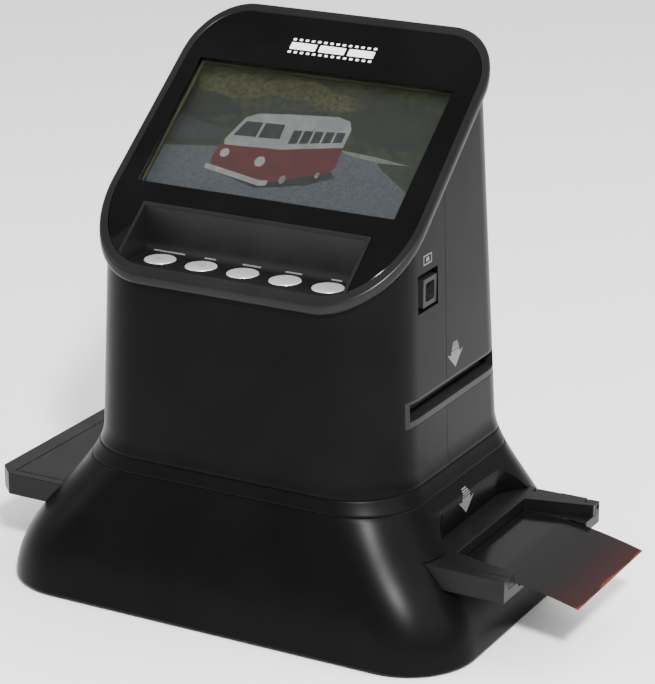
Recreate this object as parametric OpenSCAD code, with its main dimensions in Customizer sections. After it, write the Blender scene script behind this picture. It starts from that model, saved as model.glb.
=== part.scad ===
// Desktop film scanner and slide viewer: a flared base, a tower with a sloping screen face,
// a well of five buttons, an upper slot for small-film holders and a film tray in the base.
// +Z is up, the screen and the buttons face -Y, and the film tray slides along X.
// The origin is the middle of the footprint, on the surface that the feet stand on.

/* [Base] */
// Width of the footprint
base_w = 200; // [180:1:240]
// Depth of the footprint
base_d = 136; // [125:1:165]
// Corner radius of the footprint
base_r = 28.5; // [24:0.5:34]
// Height of the flared lower housing
skirt_h = 53.2; // [51:0.1:58]
// Height of the band between the lower housing and the tower
band_h = 5.7; // [4:0.1:7]
// Place of the niche wall beside the tray, from the middle
niche_x = 75; // [73:0.5:80]
// Wall of every casing
wall = 2.4; // [2:0.1:3]
// Height of the rubber feet below the floor plate
foot_h = 1.2; // [1:0.1:3]
// Radius of a rubber foot
foot_r = 7; // [5:0.5:9]
// Thickness of the floor plate
plate_t = 2.4; // [2:0.1:4]

/* [Tower] */
// Width of the tower, carried down to the floor
tower_w = 138; // [136:0.5:166]
// Distance from the middle to the tower's front, carried down to the floor
tower_front = 53.8; // [52:0.1:62]
// Distance from the middle to the tower's back
tower_back = 62.4; // [60:0.1:66]
// Radius of the tower's front corners
front_r = 28.5; // [24:0.5:30]
// Radius of the tower's back corners
back_r = 19; // [17:0.5:26]
// Inward lean of the sides, in mm for each mm of height
side_draft = 0.03; // [0:0.005:0.04]
// Inward lean of the front, in mm for each mm of height
front_draft = 0.03; // [0:0.005:0.05]
// Inward lean of the back, in mm for each mm of height
back_draft = 0.07; // [0:0.005:0.08]
// Height at which the flare has died out
flare_h = 66; // [62:1:70]
// Place of the seam between the front and rear shells
shell_seam_y = 1; // [0:0.5:6]

/* [Screen face] */
// Slope of the face from the horizontal
face_tilt = 38.7; // [34:0.1:42]
// Height of the screen window's lower edge
face_z = 159.8; // [150:0.1:196]
// Place of the screen window's lower edge from the middle
face_y = -20.6; // [-22:0.1:-18]
// Thickness of the bezel, square to the face
bezel_t = 4.5; // [4:0.1:6]
// Width of the bezel's flat rim
rim_w = 2.7; // [2:0.1:3]
// Overhang of the bezel beyond the tower
bezel_over = 3.2; // [2.5:0.1:4]
// Thickness of the glass
glass_t = 1.6; // [1:0.1:2]
// Thickness of the black window mask
mask_t = 1; // [0.5:0.1:1.5]
// Width of the screen window
screen_w = 110.7; // [92:0.1:111]
// Height of the screen window
screen_h = 61.3; // [50:0.1:62]
// Sideways place of the window and the buttons
panel_x = -1.2; // [-1.5:0.1:1.5]
// Thickness of the display module
display_t = 3.5; // [3:0.1:5]

/* [Control well] */
// Inner width of the well
well_w = 95.4; // [90:0.2:96]
// Height of the well's floor
well_z = 134.8; // [130:0.2:170]
// Thickness of the well's floor
well_floor_t = 2; // [1.6:0.1:2.4]
// Thickness of the well's walls
well_wall = 1.2; // [1:0.1:1.4]
// Diameter of a button
button_d = 12.4; // [9:0.1:15]
// Distance between the buttons
button_pitch = 18.1; // [17.9:0.1:18.6]
// Travel of a button
button_travel = 0.5; // [0.3:0.05:0.6]

/* [Format selector] */
// Height of the selector's middle
selector_z = 131.7; // [128:0.1:165]
// Length of the selector's opening, front to back
selector_open = 16.4; // [14:0.2:18]
// Height of the selector's opening
selector_open_h = 14.7; // [13:0.1:16]
// Size of the square knob
knob_size = 10.9; // [9:0.1:12]
// Travel of the knob
knob_travel = 3; // [2:0.1:4]

/* [Upper slot] */
// Height of the slot's underside
slot_z = 85.1; // [84:0.1:92]
// Height of the slot
slot_h = 6.7; // [5:0.1:9]
// Depth of the slot, front to back
slot_w = 73; // [62:0.5:74]
// Border of the slot's frame at its ends
slot_border = 2.5; // [2:0.5:4]

/* [Film tray] */
// Width of the tray
tray_w = 88; // [76:0.5:89]
// Thickness of the tray
tray_h = 9; // [8:0.1:10.8]
// Height of the tray's underside
tray_z = 28.3; // [27.5:0.1:30]
// Length of the tray to the left of the middle
tray_left = 112.3; // [105:0.1:125]
// Length of the tray to the right of the middle
tray_right = 112.6; // [108:0.1:120]
// Width of the film
film_w = 61.5; // [50:0.1:62]
// Thickness of the film
film_t = 0.4; // [0.3:0.05:0.5]
// Length of film that hangs past the tray
film_out = 33.7; // [25:0.1:40]
// Angle at which the film hangs
film_droop = 11; // [5:0.5:14]
// Clearance around moving pieces
gap = 0.3; // [0.2:0.05:0.4]

/* [Optics] */
// Diameter of the lens barrel
lens_d = 20; // [16:0.5:24]
// Height of the light panel's housing
lamp_h = 16.4; // [14:0.2:17]

/* [Hidden] */
$fn = 48;
corner_steps = 8;
flare_power = 1.2;
plate_z = foot_h;
plate_top = plate_z + plate_t;
skirt_bottom = 0.8;
band_top = skirt_h + band_h;
edge_chamfer = 0.5;
tilt_c = cos(face_tilt);
tilt_s = sin(face_tilt);
tilt_t = tan(face_tilt);
glass_gap = 0.15;
glass_recess = 0.2;
mask_bottom = glass_recess + glass_t + mask_t;
ledge_w = 2.4;
gasket_t = 3.2;
display_top = mask_bottom + gasket_t;
display_bottom = display_top + display_t;
well_back_y = -27.3;
well_lean = 2;
well_fillet = 4;
well_outer_w = well_w + 2 * well_wall;
well_trim = 0.5;
bezel_edge = 0.5;
glass_in = rim_w + bezel_edge - bezel_over;
lip_y = -(front_d(well_z) - glass_in);
button_y = -35.6;
button_x = [for (k = [-2 : 2]) panel_x + k * button_pitch];
button_r = button_d / 2;
cap_rise = 0.3;
flange_t = 0.7;
flange_over = 1;
flange_drop = 0.3;
nub_t = 0.2;
board_t = 1.6;
switch_h = 2.6;
switch_gap = 0.1;
post_r = 1.8;
tray_top = tray_z + tray_h;
frame_h = tray_h / 2 - 0.1;
film_z = tray_z + frame_h - film_t - 0.1;
droop_x = tray_right - 9;
niche_w = 82;
niche_y = 5;
niche_r = 20;
slot_y = 8;
slot_frame_z = slot_z - 2.6;
slot_frame_top = slot_z + slot_h + 1.3;
gate_x = 59;
gate_z = slot_z - 3.2;
gate_top = slot_z + slot_h + 3.1;
guide_x = niche_x - wall - 0.8;
guide_t = 2.3;
guide_z = tray_z - gap;
guide_rail = 2.6;
guide_top = tray_top + 2;
tunnel_half = 38;
tunnel_flange = 2;
optics_z = gate_top + 6;
optics_t = 3;
lens_low = optics_z - 4;
lens_top = optics_z + 20;
lens_flange_t = 2;
main_board_y = 44.9;
main_board_z = 98;
main_board_h = 58;
main_board_w = 100;
board_hole_x = main_board_w / 2 - 14;
board_holes = [main_board_z + 8, main_board_z + main_board_h - 8];
port_z = 112;
usb_x = [-27, -18];
usb_h = 3.4;
card_x = [8, 33];
card_h = 2.4;
port_gap = 0.5;
boss_x = base_w / 2 - 15;
boss_y = base_d / 2 - 14;
boss_r = 4.5;
boss_top = 17;
screw_r = 1.5;
head_r = 3;
selector_y = -13.6;
knob_y0 = selector_y + selector_open / 2 - 0.4 - knob_size;
knob_z0 = selector_z + 0.65 - selector_open_h / 2 + 0.9;
selector_x = half_w(selector_z + selector_open_h / 2) - wall - 2 * gap;

// Share of the way from the footprint to the tower at height z: 0 at the floor, 1 above the flare.
function smooth(t) = t * t * (3 - 2 * t);
function flare(z) = smooth(pow(min(max(z, 0) / flare_h, 1), flare_power));

// Half width, front distance, back distance and corner radii of the housing at height z.
function half_w(z) = base_w / 2 - (base_w - tower_w) / 2 * flare(z) - side_draft * z;
function front_d(z) = base_d / 2 - (base_d / 2 - tower_front) * flare(z) - front_draft * z;
function back_d(z) = base_d / 2 - (base_d / 2 - tower_back) * flare(z) - back_draft * z;
function front_corner(z) = base_r - (base_r - front_r) * flare(z);
function back_corner(z) = base_r - (base_r - back_r) * flare(z);

// One rounded corner of an outline, starting at angle a0.
function arc_pts(cx, cy, r, a0) =
    [for (k = [0 : corner_steps]) [cx + r * cos(a0 + 90 * k / corner_steps), cy + r * sin(a0 + 90 * k / corner_steps)]];

// Outline of the housing at height z, moved in by t.
function outline(z, t) =
    let (
        w = half_w(z) - t,
        f = front_d(z) - t,
        b = back_d(z) - t,
        rf = front_corner(z) - t,
        rb = back_corner(z) - t
    )
    concat(
        arc_pts(w - rb, b - rb, rb, 0),
        arc_pts(-w + rb, b - rb, rb, 90),
        arc_pts(-w + rf, -f + rf, rf, 180),
        arc_pts(w - rf, -f + rf, rf, 270)
    );

function ring(z, t) = [for (p = outline(z, t)) [p[0], p[1], z]];

// Where the tower's walls, moved in by t, meet the plane that lies off below the face.
function face_ring(t, off) =
    let (low = outline(80, t), high = outline(180, t))
    [for (i = [0 : len(low) - 1])
        let (
            lean = (high[i] - low[i]) / 100,
            foot = low[i] - 80 * lean,
            z = (face_z + (foot[1] - face_y) * tilt_t - off / tilt_c) / (1 - lean[1] * tilt_t)
        )
        [foot[0] + lean[0] * z, foot[1] + lean[1] * z, z]
    ];

// The same ring in the face's own axes: x, distance up the slope, height above the face.
function to_face(p) = [
    p[0],
    (p[1] - face_y) * tilt_c + (p[2] - face_z) * tilt_s,
    (p[2] - face_z) * tilt_c - (p[1] - face_y) * tilt_s
];
function face_ring_local(t, off) = [for (p = face_ring(t, off)) to_face(p)];

// Two triangles for each pair of neighbours in two loops of n points.
function band_faces(n, a, b) = [
    for (i = [0 : n - 1])
        let (j = (i + 1) % n)
        each [[a * n + i, b * n + i, b * n + j], [a * n + i, b * n + j, a * n + j]]
];

// A closed frame: the loops go round its section and the last joins the first.
module loop_frame(loops) {
    n = len(loops[0]);
    m = len(loops);
    polyhedron(
        points = [for (l = loops) each l],
        faces = [for (k = [0 : m - 1]) each band_faces(n, k, (k + 1) % m)],
        convexity = 8
    );
}

// A solid: the loops go from its bottom to its top.
module loop_solid(loops) {
    n = len(loops[0]);
    m = len(loops);
    polyhedron(
        points = [for (l = loops) each l],
        faces = concat(
            [[for (i = [0 : n - 1]) i]],
            [for (k = [0 : m - 2]) each band_faces(n, k, k + 1)],
            [[for (i = [n - 1 : -1 : 0]) (m - 1) * n + i]]
        ),
        convexity = 8
    );
}

// Places its children on the sloping face.
module on_face() {
    translate([0, face_y, face_z]) rotate([face_tilt, 0, 0]) children();
}

// A box given by its two corners.
module block(low, high) {
    translate(low) cube(high - low);
}

// An outline in the YZ plane, drawn out along X by w and centred on it.
module profile_x(pts, w) {
    translate([-w / 2, 0, 0]) rotate([90, 0, 90]) linear_extrude(w) polygon(pts);
}

// Plan of the scooped niche beside the tray, grown by g.
module niche_plan(g) {
    x0 = niche_x - g;
    half = niche_w / 2 + g;
    r = niche_r + g;
    reach = base_w / 2 + 10;
    translate([x0, niche_y - half + r]) square([reach - x0, 2 * (half - r)]);
    translate([x0 + r, niche_y - half]) square([reach - x0 - r, 2 * half]);
    for (s = [-1, 1]) {
        translate([x0 + r, niche_y + s * (half - r)]) circle(r);
    }
}

skirt_levels = [for (k = [0 : 11]) 2 + (skirt_h - 2) * k / 11];

module skirt_outer_solid() {
    loop_solid(concat([ring(skirt_bottom, 1)], [for (z = skirt_levels) ring(z, 0)]));
}

module skirt_shell() {
    loop_frame(concat(
        [ring(skirt_bottom, 1)],
        [for (z = skirt_levels) ring(z, 0)],
        [for (k = [11 : -1 : 0]) ring(skirt_levels[k], wall)],
        [ring(skirt_bottom, wall)]
    ));
}

module skirt() color([0.09, 0.09, 0.095]) {
    shelf = tray_z - gap - 0.1;
    difference() {
        union() {
            skirt_shell();
            intersection() {
                skirt_outer_solid();
                union() {
                    for (m = [0, 1]) {
                        mirror([m, 0, 0]) translate([0, 0, shelf - wall])
                            linear_extrude(skirt_h - shelf + wall) niche_plan(wall);
                    }
                }
            }
            for (x = [-1, 1], y = [-1, 1]) {
                translate([x * boss_x, y * boss_y, plate_top]) cylinder(r = boss_r, h = boss_top - plate_top);
            }
        }
        for (m = [0, 1]) {
            mirror([m, 0, 0]) translate([0, 0, shelf]) linear_extrude(skirt_h) niche_plan(0);
        }
        block(
            [-base_w, -tray_w / 2 - gap - 0.1, shelf],
            [base_w, tray_w / 2 + gap + 0.1, tray_top + gap + 0.1]
        );
        for (x = [-1, 1], y = [-1, 1]) {
            translate([x * boss_x, y * boss_y, 0]) cylinder(r = screw_r, h = boss_top - 3);
        }
    }
}

module waist_band() color([0.08, 0.08, 0.085]) {
    loop_frame([
        ring(skirt_h, edge_chamfer),
        ring(skirt_h + edge_chamfer, 0),
        ring(band_top - edge_chamfer, 0),
        ring(band_top, edge_chamfer),
        ring(band_top, wall),
        ring(skirt_h, wall)
    ]);
}

tower_levels = [band_top, (band_top + flare_h) / 2, flare_h];

module tower_walls() {
    loop_frame(concat(
        [for (z = tower_levels) ring(z, 0)],
        [face_ring(0, bezel_t), face_ring(wall, bezel_t)],
        [for (k = [2 : -1 : 0]) ring(tower_levels[k], wall)]
    ));
}

// The box that each slot frame fills in the tower's side.
module slot_frame_box() {
    block(
        [gate_x - 2, slot_y - slot_w / 2 - slot_border, slot_frame_z],
        [tower_w, slot_y + slot_w / 2 + slot_border, slot_frame_top]
    );
}

module selector_opening() {
    block(
        [selector_x - 4, selector_y - selector_open / 2, selector_z + 0.65 - selector_open_h / 2],
        [tower_w, selector_y + selector_open / 2, selector_z + 0.65 + selector_open_h / 2]
    );
}

module front_shell() color([0.075, 0.075, 0.08]) {
    difference() {
        intersection() {
            tower_walls();
            block([-tower_w, -2 * tower_front, 0], [tower_w, shell_seam_y, 300]);
        }
        for (m = [0, 1]) {
            mirror([m, 0, 0]) slot_frame_box();
        }
        selector_opening();
    }
}

module rear_shell() color([0.075, 0.075, 0.08]) {
    post_y = main_board_y + board_t;
    port_wall = back_d(port_z) - wall - 1.5;
    difference() {
        union() {
            intersection() {
                tower_walls();
                block([-tower_w, shell_seam_y, 0], [tower_w, 2 * tower_back, 300]);
            }
            for (x = [-1, 1], z = board_holes) {
                translate([x * board_hole_x, post_y, z])
                    rotate([-90, 0, 0]) cylinder(r = 3, h = back_d(z) - wall / 2 - post_y);
            }
        }
        for (m = [0, 1]) {
            mirror([m, 0, 0]) slot_frame_box();
        }
        for (x = [-1, 1], z = board_holes) {
            translate([x * board_hole_x, post_y - 1, z]) rotate([-90, 0, 0]) cylinder(r = 1, h = 3.8);
        }
        for (port = [[usb_x, usb_h], [card_x, card_h]]) {
            block(
                [port[0][0] - port_gap, port_wall, port_z - port_gap],
                [port[0][1] + port_gap, tower_back + 3, port_z + port[1] + port_gap]
            );
        }
        for (k = [-4 : 4]) {
            block([k * 7 - 1.2, 44, 168], [k * 7 + 1.2, 60, 186]);
        }
    }
}

// Everything inside the glass's outline at the height of the well.
module well_plan() {
    linear_extrude(2 * face_z) polygon(outline(well_z, glass_in + glass_gap));
}

// Inset and depth of each loop round the bezel's section.
bezel_section = [
    [0, bezel_t],
    [-bezel_over, 2.6],
    [-bezel_over, 1],
    [bezel_edge - bezel_over, 0],
    [glass_in, 0],
    [glass_in, mask_bottom],
    [glass_in + ledge_w, mask_bottom],
    [glass_in + ledge_w, bezel_t]
];

module bezel() color([0.13, 0.13, 0.135]) {
    difference() {
        on_face() loop_frame([for (p = bezel_section) face_ring_local(p[0], p[1])]);
        intersection() {
            block(
                [-well_outer_w / 2 - 0.2, lip_y - 2, well_z - 12],
                [well_outer_w / 2 + 0.2, button_y + 6, well_z + 12]
            );
            well_plan();
        }
    }
}

// A plate of the glass's outline from depth d0 to depth d1, with the well cut out of it.
module face_sheet(d0, d1) {
    inset = glass_in + glass_gap;
    difference() {
        on_face() loop_solid([face_ring_local(inset, d1), face_ring_local(inset, d0)]);
        block(
            [-well_outer_w / 2 - 0.2, -2 * tower_front, well_z - 20],
            [well_outer_w / 2 + 0.2, well_back_y - well_lean + well_wall + 0.8, well_z + 60]
        );
    }
}

module face_glass() color([0.05, 0.05, 0.06, 0.5]) {
    face_sheet(glass_recess, glass_recess + glass_t);
}

module window_mask() color([0.02, 0.02, 0.02]) {
    difference() {
        face_sheet(glass_recess + glass_t, mask_bottom);
        on_face() translate([panel_x - screen_w / 2, 0, -10]) cube([screen_w, screen_h, 12]);
    }
}

module screen_gasket() color([0.1, 0.1, 0.1]) {
    outer = screen_w / 2 + 3;
    inner = screen_w / 2 + 1.6;
    on_face() difference() {
        block([-outer, -3, -display_top], [outer, screen_h + 3, -mask_bottom]);
        block([-inner, -1, -display_top - 1], [inner, screen_h + 1, -mask_bottom + 1]);
    }
}

module display() color([0.2, 0.28, 0.2]) {
    on_face() block([-screen_w / 2 - 3, -4, -display_bottom], [screen_w / 2 + 3, screen_h + 5, -display_top]);
}

module display_plate() color([0.6, 0.6, 0.62]) {
    plate_half = screen_w / 2 + 5;
    on_face() {
        difference() {
            block([-plate_half, 2, -display_bottom - 1], [plate_half, screen_h - 3, -display_bottom]);
            block([-30, 14, -display_bottom - 2], [30, screen_h - 15, -display_bottom + 1]);
        }
        for (x = [-1, 1], y = [6, screen_h - 8]) {
            translate([x * (plate_half - 0.9), y, -display_bottom]) cylinder(r = 0.8, h = display_bottom - mask_bottom);
        }
    }
}

// Height of the face plane above y.
function face_at(y) = face_z + (y - face_y) * tilt_t;

// Section of the well's hollow, with a fillet where the floor turns up into the back wall.
function well_section() = concat(
    [[lip_y - 3, well_z]],
    [for (a = [0 : 15 : 90])
        [well_back_y - well_fillet + well_fillet * sin(a), well_z + well_fillet - well_fillet * cos(a)]],
    [[well_back_y - well_lean, face_at(well_back_y - well_lean)], [well_back_y - well_lean, face_z + 30],
     [lip_y - 3, face_z + 30]]
);

module control_well() color([0.07, 0.07, 0.075]) {
    outer_back = well_back_y + well_wall;
    floor_low = well_z - well_floor_t;
    trim_back = well_back_y - well_lean + well_wall;
    difference() {
        intersection() {
            profile_x(
                [
                    [lip_y - 2, floor_low],
                    [lip_y - 2, face_at(lip_y - 2) + well_trim],
                    [trim_back, face_at(trim_back) + well_trim],
                    [outer_back, face_at(trim_back) - 8],
                    [outer_back, floor_low]
                ],
                well_outer_w
            );
            well_plan();
        }
        tower_walls();
        profile_x(well_section(), well_w);
        for (x = button_x) {
            translate([x, button_y, floor_low - 1]) cylinder(r = button_r + gap, h = 6);
        }
    }
    for (x = [-1, 1], y = [button_y - 6, button_y + 5.5]) {
        translate([x * (well_w / 2 - 2.3), y, board_top()]) cylinder(r = post_r, h = floor_low - board_top());
    }
}

// Top of the button board, so that a pressed button just reaches its switch.
function board_top() = well_z - well_floor_t - flange_drop - flange_t - nub_t - button_travel - switch_gap - switch_h;

module push_button(x) {
    floor_low = well_z - well_floor_t;
    flange_top = floor_low - flange_drop;
    top = well_z + cap_rise;
    translate([x, button_y, 0]) rotate_extrude() polygon([
        [0, flange_top - flange_t - nub_t],
        [1.8, flange_top - flange_t - nub_t],
        [1.8, flange_top - flange_t],
        [button_r + flange_over, flange_top - flange_t],
        [button_r + flange_over, flange_top],
        [button_r, flange_top],
        [button_r, top - 0.6],
        [button_r - 0.6, top - 0.1],
        [button_r / 2, top],
        [0, top]
    ]);
}

module button_mode() color([0.75, 0.76, 0.77]) push_button(button_x[0]);
module button_left() color([0.75, 0.76, 0.77]) push_button(button_x[1]);
module button_power() color([0.75, 0.76, 0.77]) push_button(button_x[2]);
module button_right() color([0.75, 0.76, 0.77]) push_button(button_x[3]);
module button_ok() color([0.75, 0.76, 0.77]) push_button(button_x[4]);

module button_board() color([0.05, 0.3, 0.12]) {
    half = well_w / 2 - 0.4;
    block([-half, button_y - 8.2, board_top() - board_t], [half, button_y + 8, board_top()]);
}

module tact_switches() color([0.3, 0.3, 0.3]) {
    for (x = button_x) {
        translate([x - 3, button_y - 3, board_top()]) cube([6, 6, switch_h - 0.5]);
        translate([x, button_y, board_top() + switch_h - 0.5]) cylinder(r = 1.6, h = 0.5);
    }
}

module format_knob() color([0.1, 0.1, 0.105]) {
    flange_t2 = 1.6;
    face_x = half_w(selector_z) - 0.4;
    hole = knob_size - 3.6;
    difference() {
        union() {
            block(
                [selector_x - flange_t2, selector_y - selector_open / 2 - 1, knob_z0 - 3.5],
                [selector_x, knob_y0 + knob_size + knob_travel + 1, knob_z0 + knob_size + 4.5]
            );
            block([selector_x, knob_y0, knob_z0], [face_x, knob_y0 + knob_size, knob_z0 + knob_size]);
        }
        translate([selector_x + 0.2, knob_y0 + 1.8, knob_z0 + 1.8]) rotate([90, 0, 90])
            linear_extrude(6) hull() {
                for (a = [1.2, hole - 1.2], b = [1.2, hole - 1.2]) {
                    translate([a, b]) circle(1.2);
                }
            }
    }
}

module selector_link() color([0.7, 0.7, 0.68]) {
    bar_x = well_outer_w / 2 + 7.6;
    front = selector_y - selector_open / 2 - 8;
    back = front + 10.5;
    block([bar_x, front, selector_z - 2], [bar_x + 2, back, selector_z + 2]);
    block([bar_x, back - 2.5, selector_z - 2], [selector_x - 1.6, back, selector_z + 2]);
}

module selector_switch() color([0.25, 0.25, 0.26]) {
    inner = well_outer_w / 2;
    block([inner, button_y + 1.6, selector_z - 1.8], [inner + 7.2, well_back_y - 0.3, selector_z + 3]);
}

// The tower's outer form below the bezel, filled.
module tower_solid() {
    loop_solid(concat([for (z = tower_levels) ring(z, 0)], [face_ring(0, bezel_t)]));
}

module slot_passage(reach) {
    block([-reach, slot_y - slot_w / 2, slot_z], [reach, slot_y + slot_w / 2, slot_z + slot_h]);
}

module slot_frame_right() color([0.1, 0.1, 0.105]) {
    difference() {
        intersection() {
            tower_solid();
            translate([2, 0, 0]) slot_frame_box();
        }
        slot_passage(tower_w);
    }
}

module slot_frame_left() color([0.1, 0.1, 0.105]) {
    mirror([1, 0, 0]) slot_frame_right();
}

module film_gate() color([0.14, 0.14, 0.15]) {
    difference() {
        block([-gate_x, slot_y - slot_w / 2 - 2, gate_z], [gate_x, slot_y + slot_w / 2 + 2, gate_top]);
        slot_passage(gate_x + 1);
        block([-19, -14, gate_z - 1], [19, 14, gate_top + 1]);
    }
}

module light_tunnel() color([0.12, 0.12, 0.12]) {
    difference() {
        union() {
            block([-tunnel_half, -tunnel_half, guide_top], [tunnel_half, tunnel_half, gate_z]);
            block(
                [-tunnel_half - 4, -tray_w / 2 - gap - guide_rail, guide_top],
                [tunnel_half + 4, tray_w / 2 + gap + guide_rail, guide_top + tunnel_flange]
            );
        }
        block([-tunnel_half + 2, -tunnel_half + 2, guide_top - 1], [tunnel_half - 2, tunnel_half - 2, gate_z + 1]);
    }
}

module tray_guide() color([0.16, 0.16, 0.17]) {
    rail_in = tray_w / 2 + gap;
    rail_out = rail_in + guide_rail;
    difference() {
        block([-guide_x, -rail_out, guide_z - guide_t], [guide_x, rail_out, guide_z]);
        block([-33, -33, guide_z - guide_t - 1], [33, 33, guide_z + 1]);
    }
    for (s = [-1, 1]) {
        block([-guide_x, min(s * rail_in, s * rail_out), guide_z - 0.01],
              [guide_x, max(s * rail_in, s * rail_out), guide_top]);
    }
    for (x = [-1, 1], y = [-1, 1]) {
        translate([x * (guide_x - 8), y * (rail_out - 6), plate_top])
            cylinder(r = 4, h = guide_z - guide_t - plate_top);
    }
}

module lamp_housing() color([0.85, 0.85, 0.83]) {
    difference() {
        block([-46, -46, plate_top], [46, 46, plate_top + lamp_h]);
        block([-44, -44, plate_top + 1.6], [44, 44, plate_top + lamp_h + 1]);
    }
}

module lamp_board() color([0.9, 0.9, 0.88]) {
    block([-42, -42, plate_top + 1.6], [42, 42, plate_top + 3.2]);
    for (x = [-30 : 15 : 30], y = [-30 : 15 : 30]) {
        block([x - 1.5, y - 1.5, plate_top + 3.2], [x + 1.5, y + 1.5, plate_top + 4.2]);
    }
}

module diffuser() color([0.95, 0.95, 0.95, 0.8]) {
    block([-45, -45, plate_top + lamp_h], [45, 45, plate_top + lamp_h + 2]);
}

module optics_plate() color([0.15, 0.15, 0.16]) {
    difference() {
        block([-44, -30, optics_z], [44, 30, optics_z + optics_t]);
        translate([0, 0, optics_z - 1]) cylinder(r = lens_d / 2 + 0.2, h = optics_t + 2);
    }
    for (x = [-1, 1], y = [-1, 1]) {
        translate([x * 38, y * 25, gate_top]) cylinder(r = 3.5, h = optics_z - gate_top);
    }
}

module lens_barrel() color([0.1, 0.1, 0.1]) {
    seat = optics_z + optics_t;
    difference() {
        union() {
            translate([0, 0, lens_low]) cylinder(r = lens_d / 2, h = lens_top - lens_low);
            translate([0, 0, seat]) cylinder(r = lens_d / 2 + 3, h = lens_flange_t);
        }
        translate([0, 0, lens_low - 1]) cylinder(r = lens_d / 2 - 3, h = 5);
        translate([0, 0, lens_low + 3]) cylinder(r = lens_d / 2 - 5, h = lens_top);
    }
}

module lens_glass() color([0.5, 0.6, 0.8, 0.5]) {
    translate([0, 0, lens_low + 1.4]) cylinder(r = lens_d / 2 - 3, h = 2.6);
}

module sensor_housing() color([0.2, 0.2, 0.2]) {
    difference() {
        block([-12, -12, lens_top], [12, 12, lens_top + 8]);
        translate([0, 0, lens_top - 1]) cylinder(r = 5, h = 8);
    }
}

module sensor_board() color([0.05, 0.3, 0.12]) {
    block([-15, -13, lens_top + 8], [15, 15, lens_top + 8 + board_t]);
}

module main_board() color([0.05, 0.3, 0.12]) {
    difference() {
        block(
            [-main_board_w / 2, main_board_y, main_board_z],
            [main_board_w / 2, main_board_y + board_t, main_board_z + main_board_h]
        );
        for (x = [-1, 1], z = board_holes) {
            translate([x * board_hole_x, main_board_y - 1, z]) rotate([-90, 0, 0]) cylinder(r = 1.3, h = board_t + 2);
        }
    }
    block([-12, main_board_y - 1.2, main_board_z + 34], [2, main_board_y, main_board_z + 48]);
    block([14, main_board_y - 1, main_board_z + 38], [24, main_board_y, main_board_z + 50]);
}

// A metal socket with an open mouth towards the back.
module socket(span, h, t) {
    back = main_board_y + board_t;
    mouth = back_d(port_z) - 0.6;
    difference() {
        block([span[0], back, port_z], [span[1], mouth, port_z + h]);
        block([span[0] + t, back + 1, port_z + t], [span[1] - t, mouth + 1, port_z + h - t]);
    }
}

module usb_socket() color([0.75, 0.75, 0.76]) {
    back = main_board_y + board_t;
    socket(usb_x, usb_h, 0.4);
    block([usb_x[0] + 1.5, back + 0.9, port_z + 1.4], [usb_x[1] - 1.5, back_d(port_z) - 2, port_z + 2]);
}

module card_socket() color([0.75, 0.75, 0.76]) {
    socket(card_x, card_h, 0.3);
}

// Plan of the tray's closed left end, with its corners cut off.
function tray_plan(x0, x1, half, cut) = [
    [x1, -half], [x1, half], [x0 + cut, half], [x0, half - cut], [x0, -half + cut], [x0 + cut, -half]
];

tray_half = tray_w / 2;
lid_left = -tray_left + 7.8;
lid_near = -tray_half + 4.2;
tray_cut = 6.8;
lid_far = tray_half - 4.2;
frame_top = tray_z + frame_h;
lid_gap = 0.15;
window_x = [[-66, -3], [3, 66]];
window_half = film_w / 2 - 2.8;
mouth_x = niche_x + 11;
mouth_lip = 5;
mouth_y = 1.5;
mouth_half = 30;
mouth_flare = 6.5;
under_half = 24;
under_cut = 3;
hinge_y = tray_half - 2;
hinge_z = tray_top - 2;
hinge_r = 1;
knuckles = [for (x = [-90 : 22 : 108]) x];
knuckle_w = 10;

// The pocket that the film lies in, which slopes down at the tray's mouth.
module film_bed() {
    reach = tray_right + 1;
    width = film_w + 2 * gap;
    translate([0, width / 2, 0]) rotate([90, 0, 0]) linear_extrude(width) polygon([
        [-tray_left + 14, film_z],
        [droop_x, film_z],
        [reach, film_z - (reach - droop_x) * tan(film_droop)],
        [reach, tray_top],
        [-tray_left + 14, tray_top]
    ]);
}

module tray_frame() color([0.09, 0.09, 0.09]) {
    under_x = mouth_x + mouth_lip;
    difference() {
        union() {
            translate([0, 0, tray_z]) linear_extrude(frame_h)
                polygon(tray_plan(-tray_left, tray_right, tray_half, tray_cut));
            translate([0, 0, tray_z]) linear_extrude(tray_h) difference() {
                polygon(tray_plan(-tray_left, tray_right, tray_half, tray_cut));
                translate([lid_left - lid_gap, lid_near - lid_gap]) square([400, tray_w]);
            }
            for (x = knuckles) {
                x1 = min(x + knuckle_w - 0.2, tray_right);
                block([x, hinge_y - 2, frame_top - 0.5], [x1, tray_half, tray_top - 0.3]);
            }
        }
        film_bed();
        for (w = window_x) {
            block([w[0], -window_half, tray_z - 1], [w[1], window_half, frame_top + 1]);
        }
        translate([0, 0, tray_z - 1]) linear_extrude(frame_h + 2) polygon([
            [under_x + under_cut, -under_half], [tray_right + 1, -under_half], [tray_right + 1, under_half],
            [under_x + under_cut, under_half], [under_x, under_half - under_cut], [under_x, under_cut - under_half]
        ]);
        translate([knuckles[0] - 1, hinge_y, hinge_z]) rotate([0, 90, 0]) cylinder(r = hinge_r, h = 400);
    }
}

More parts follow.
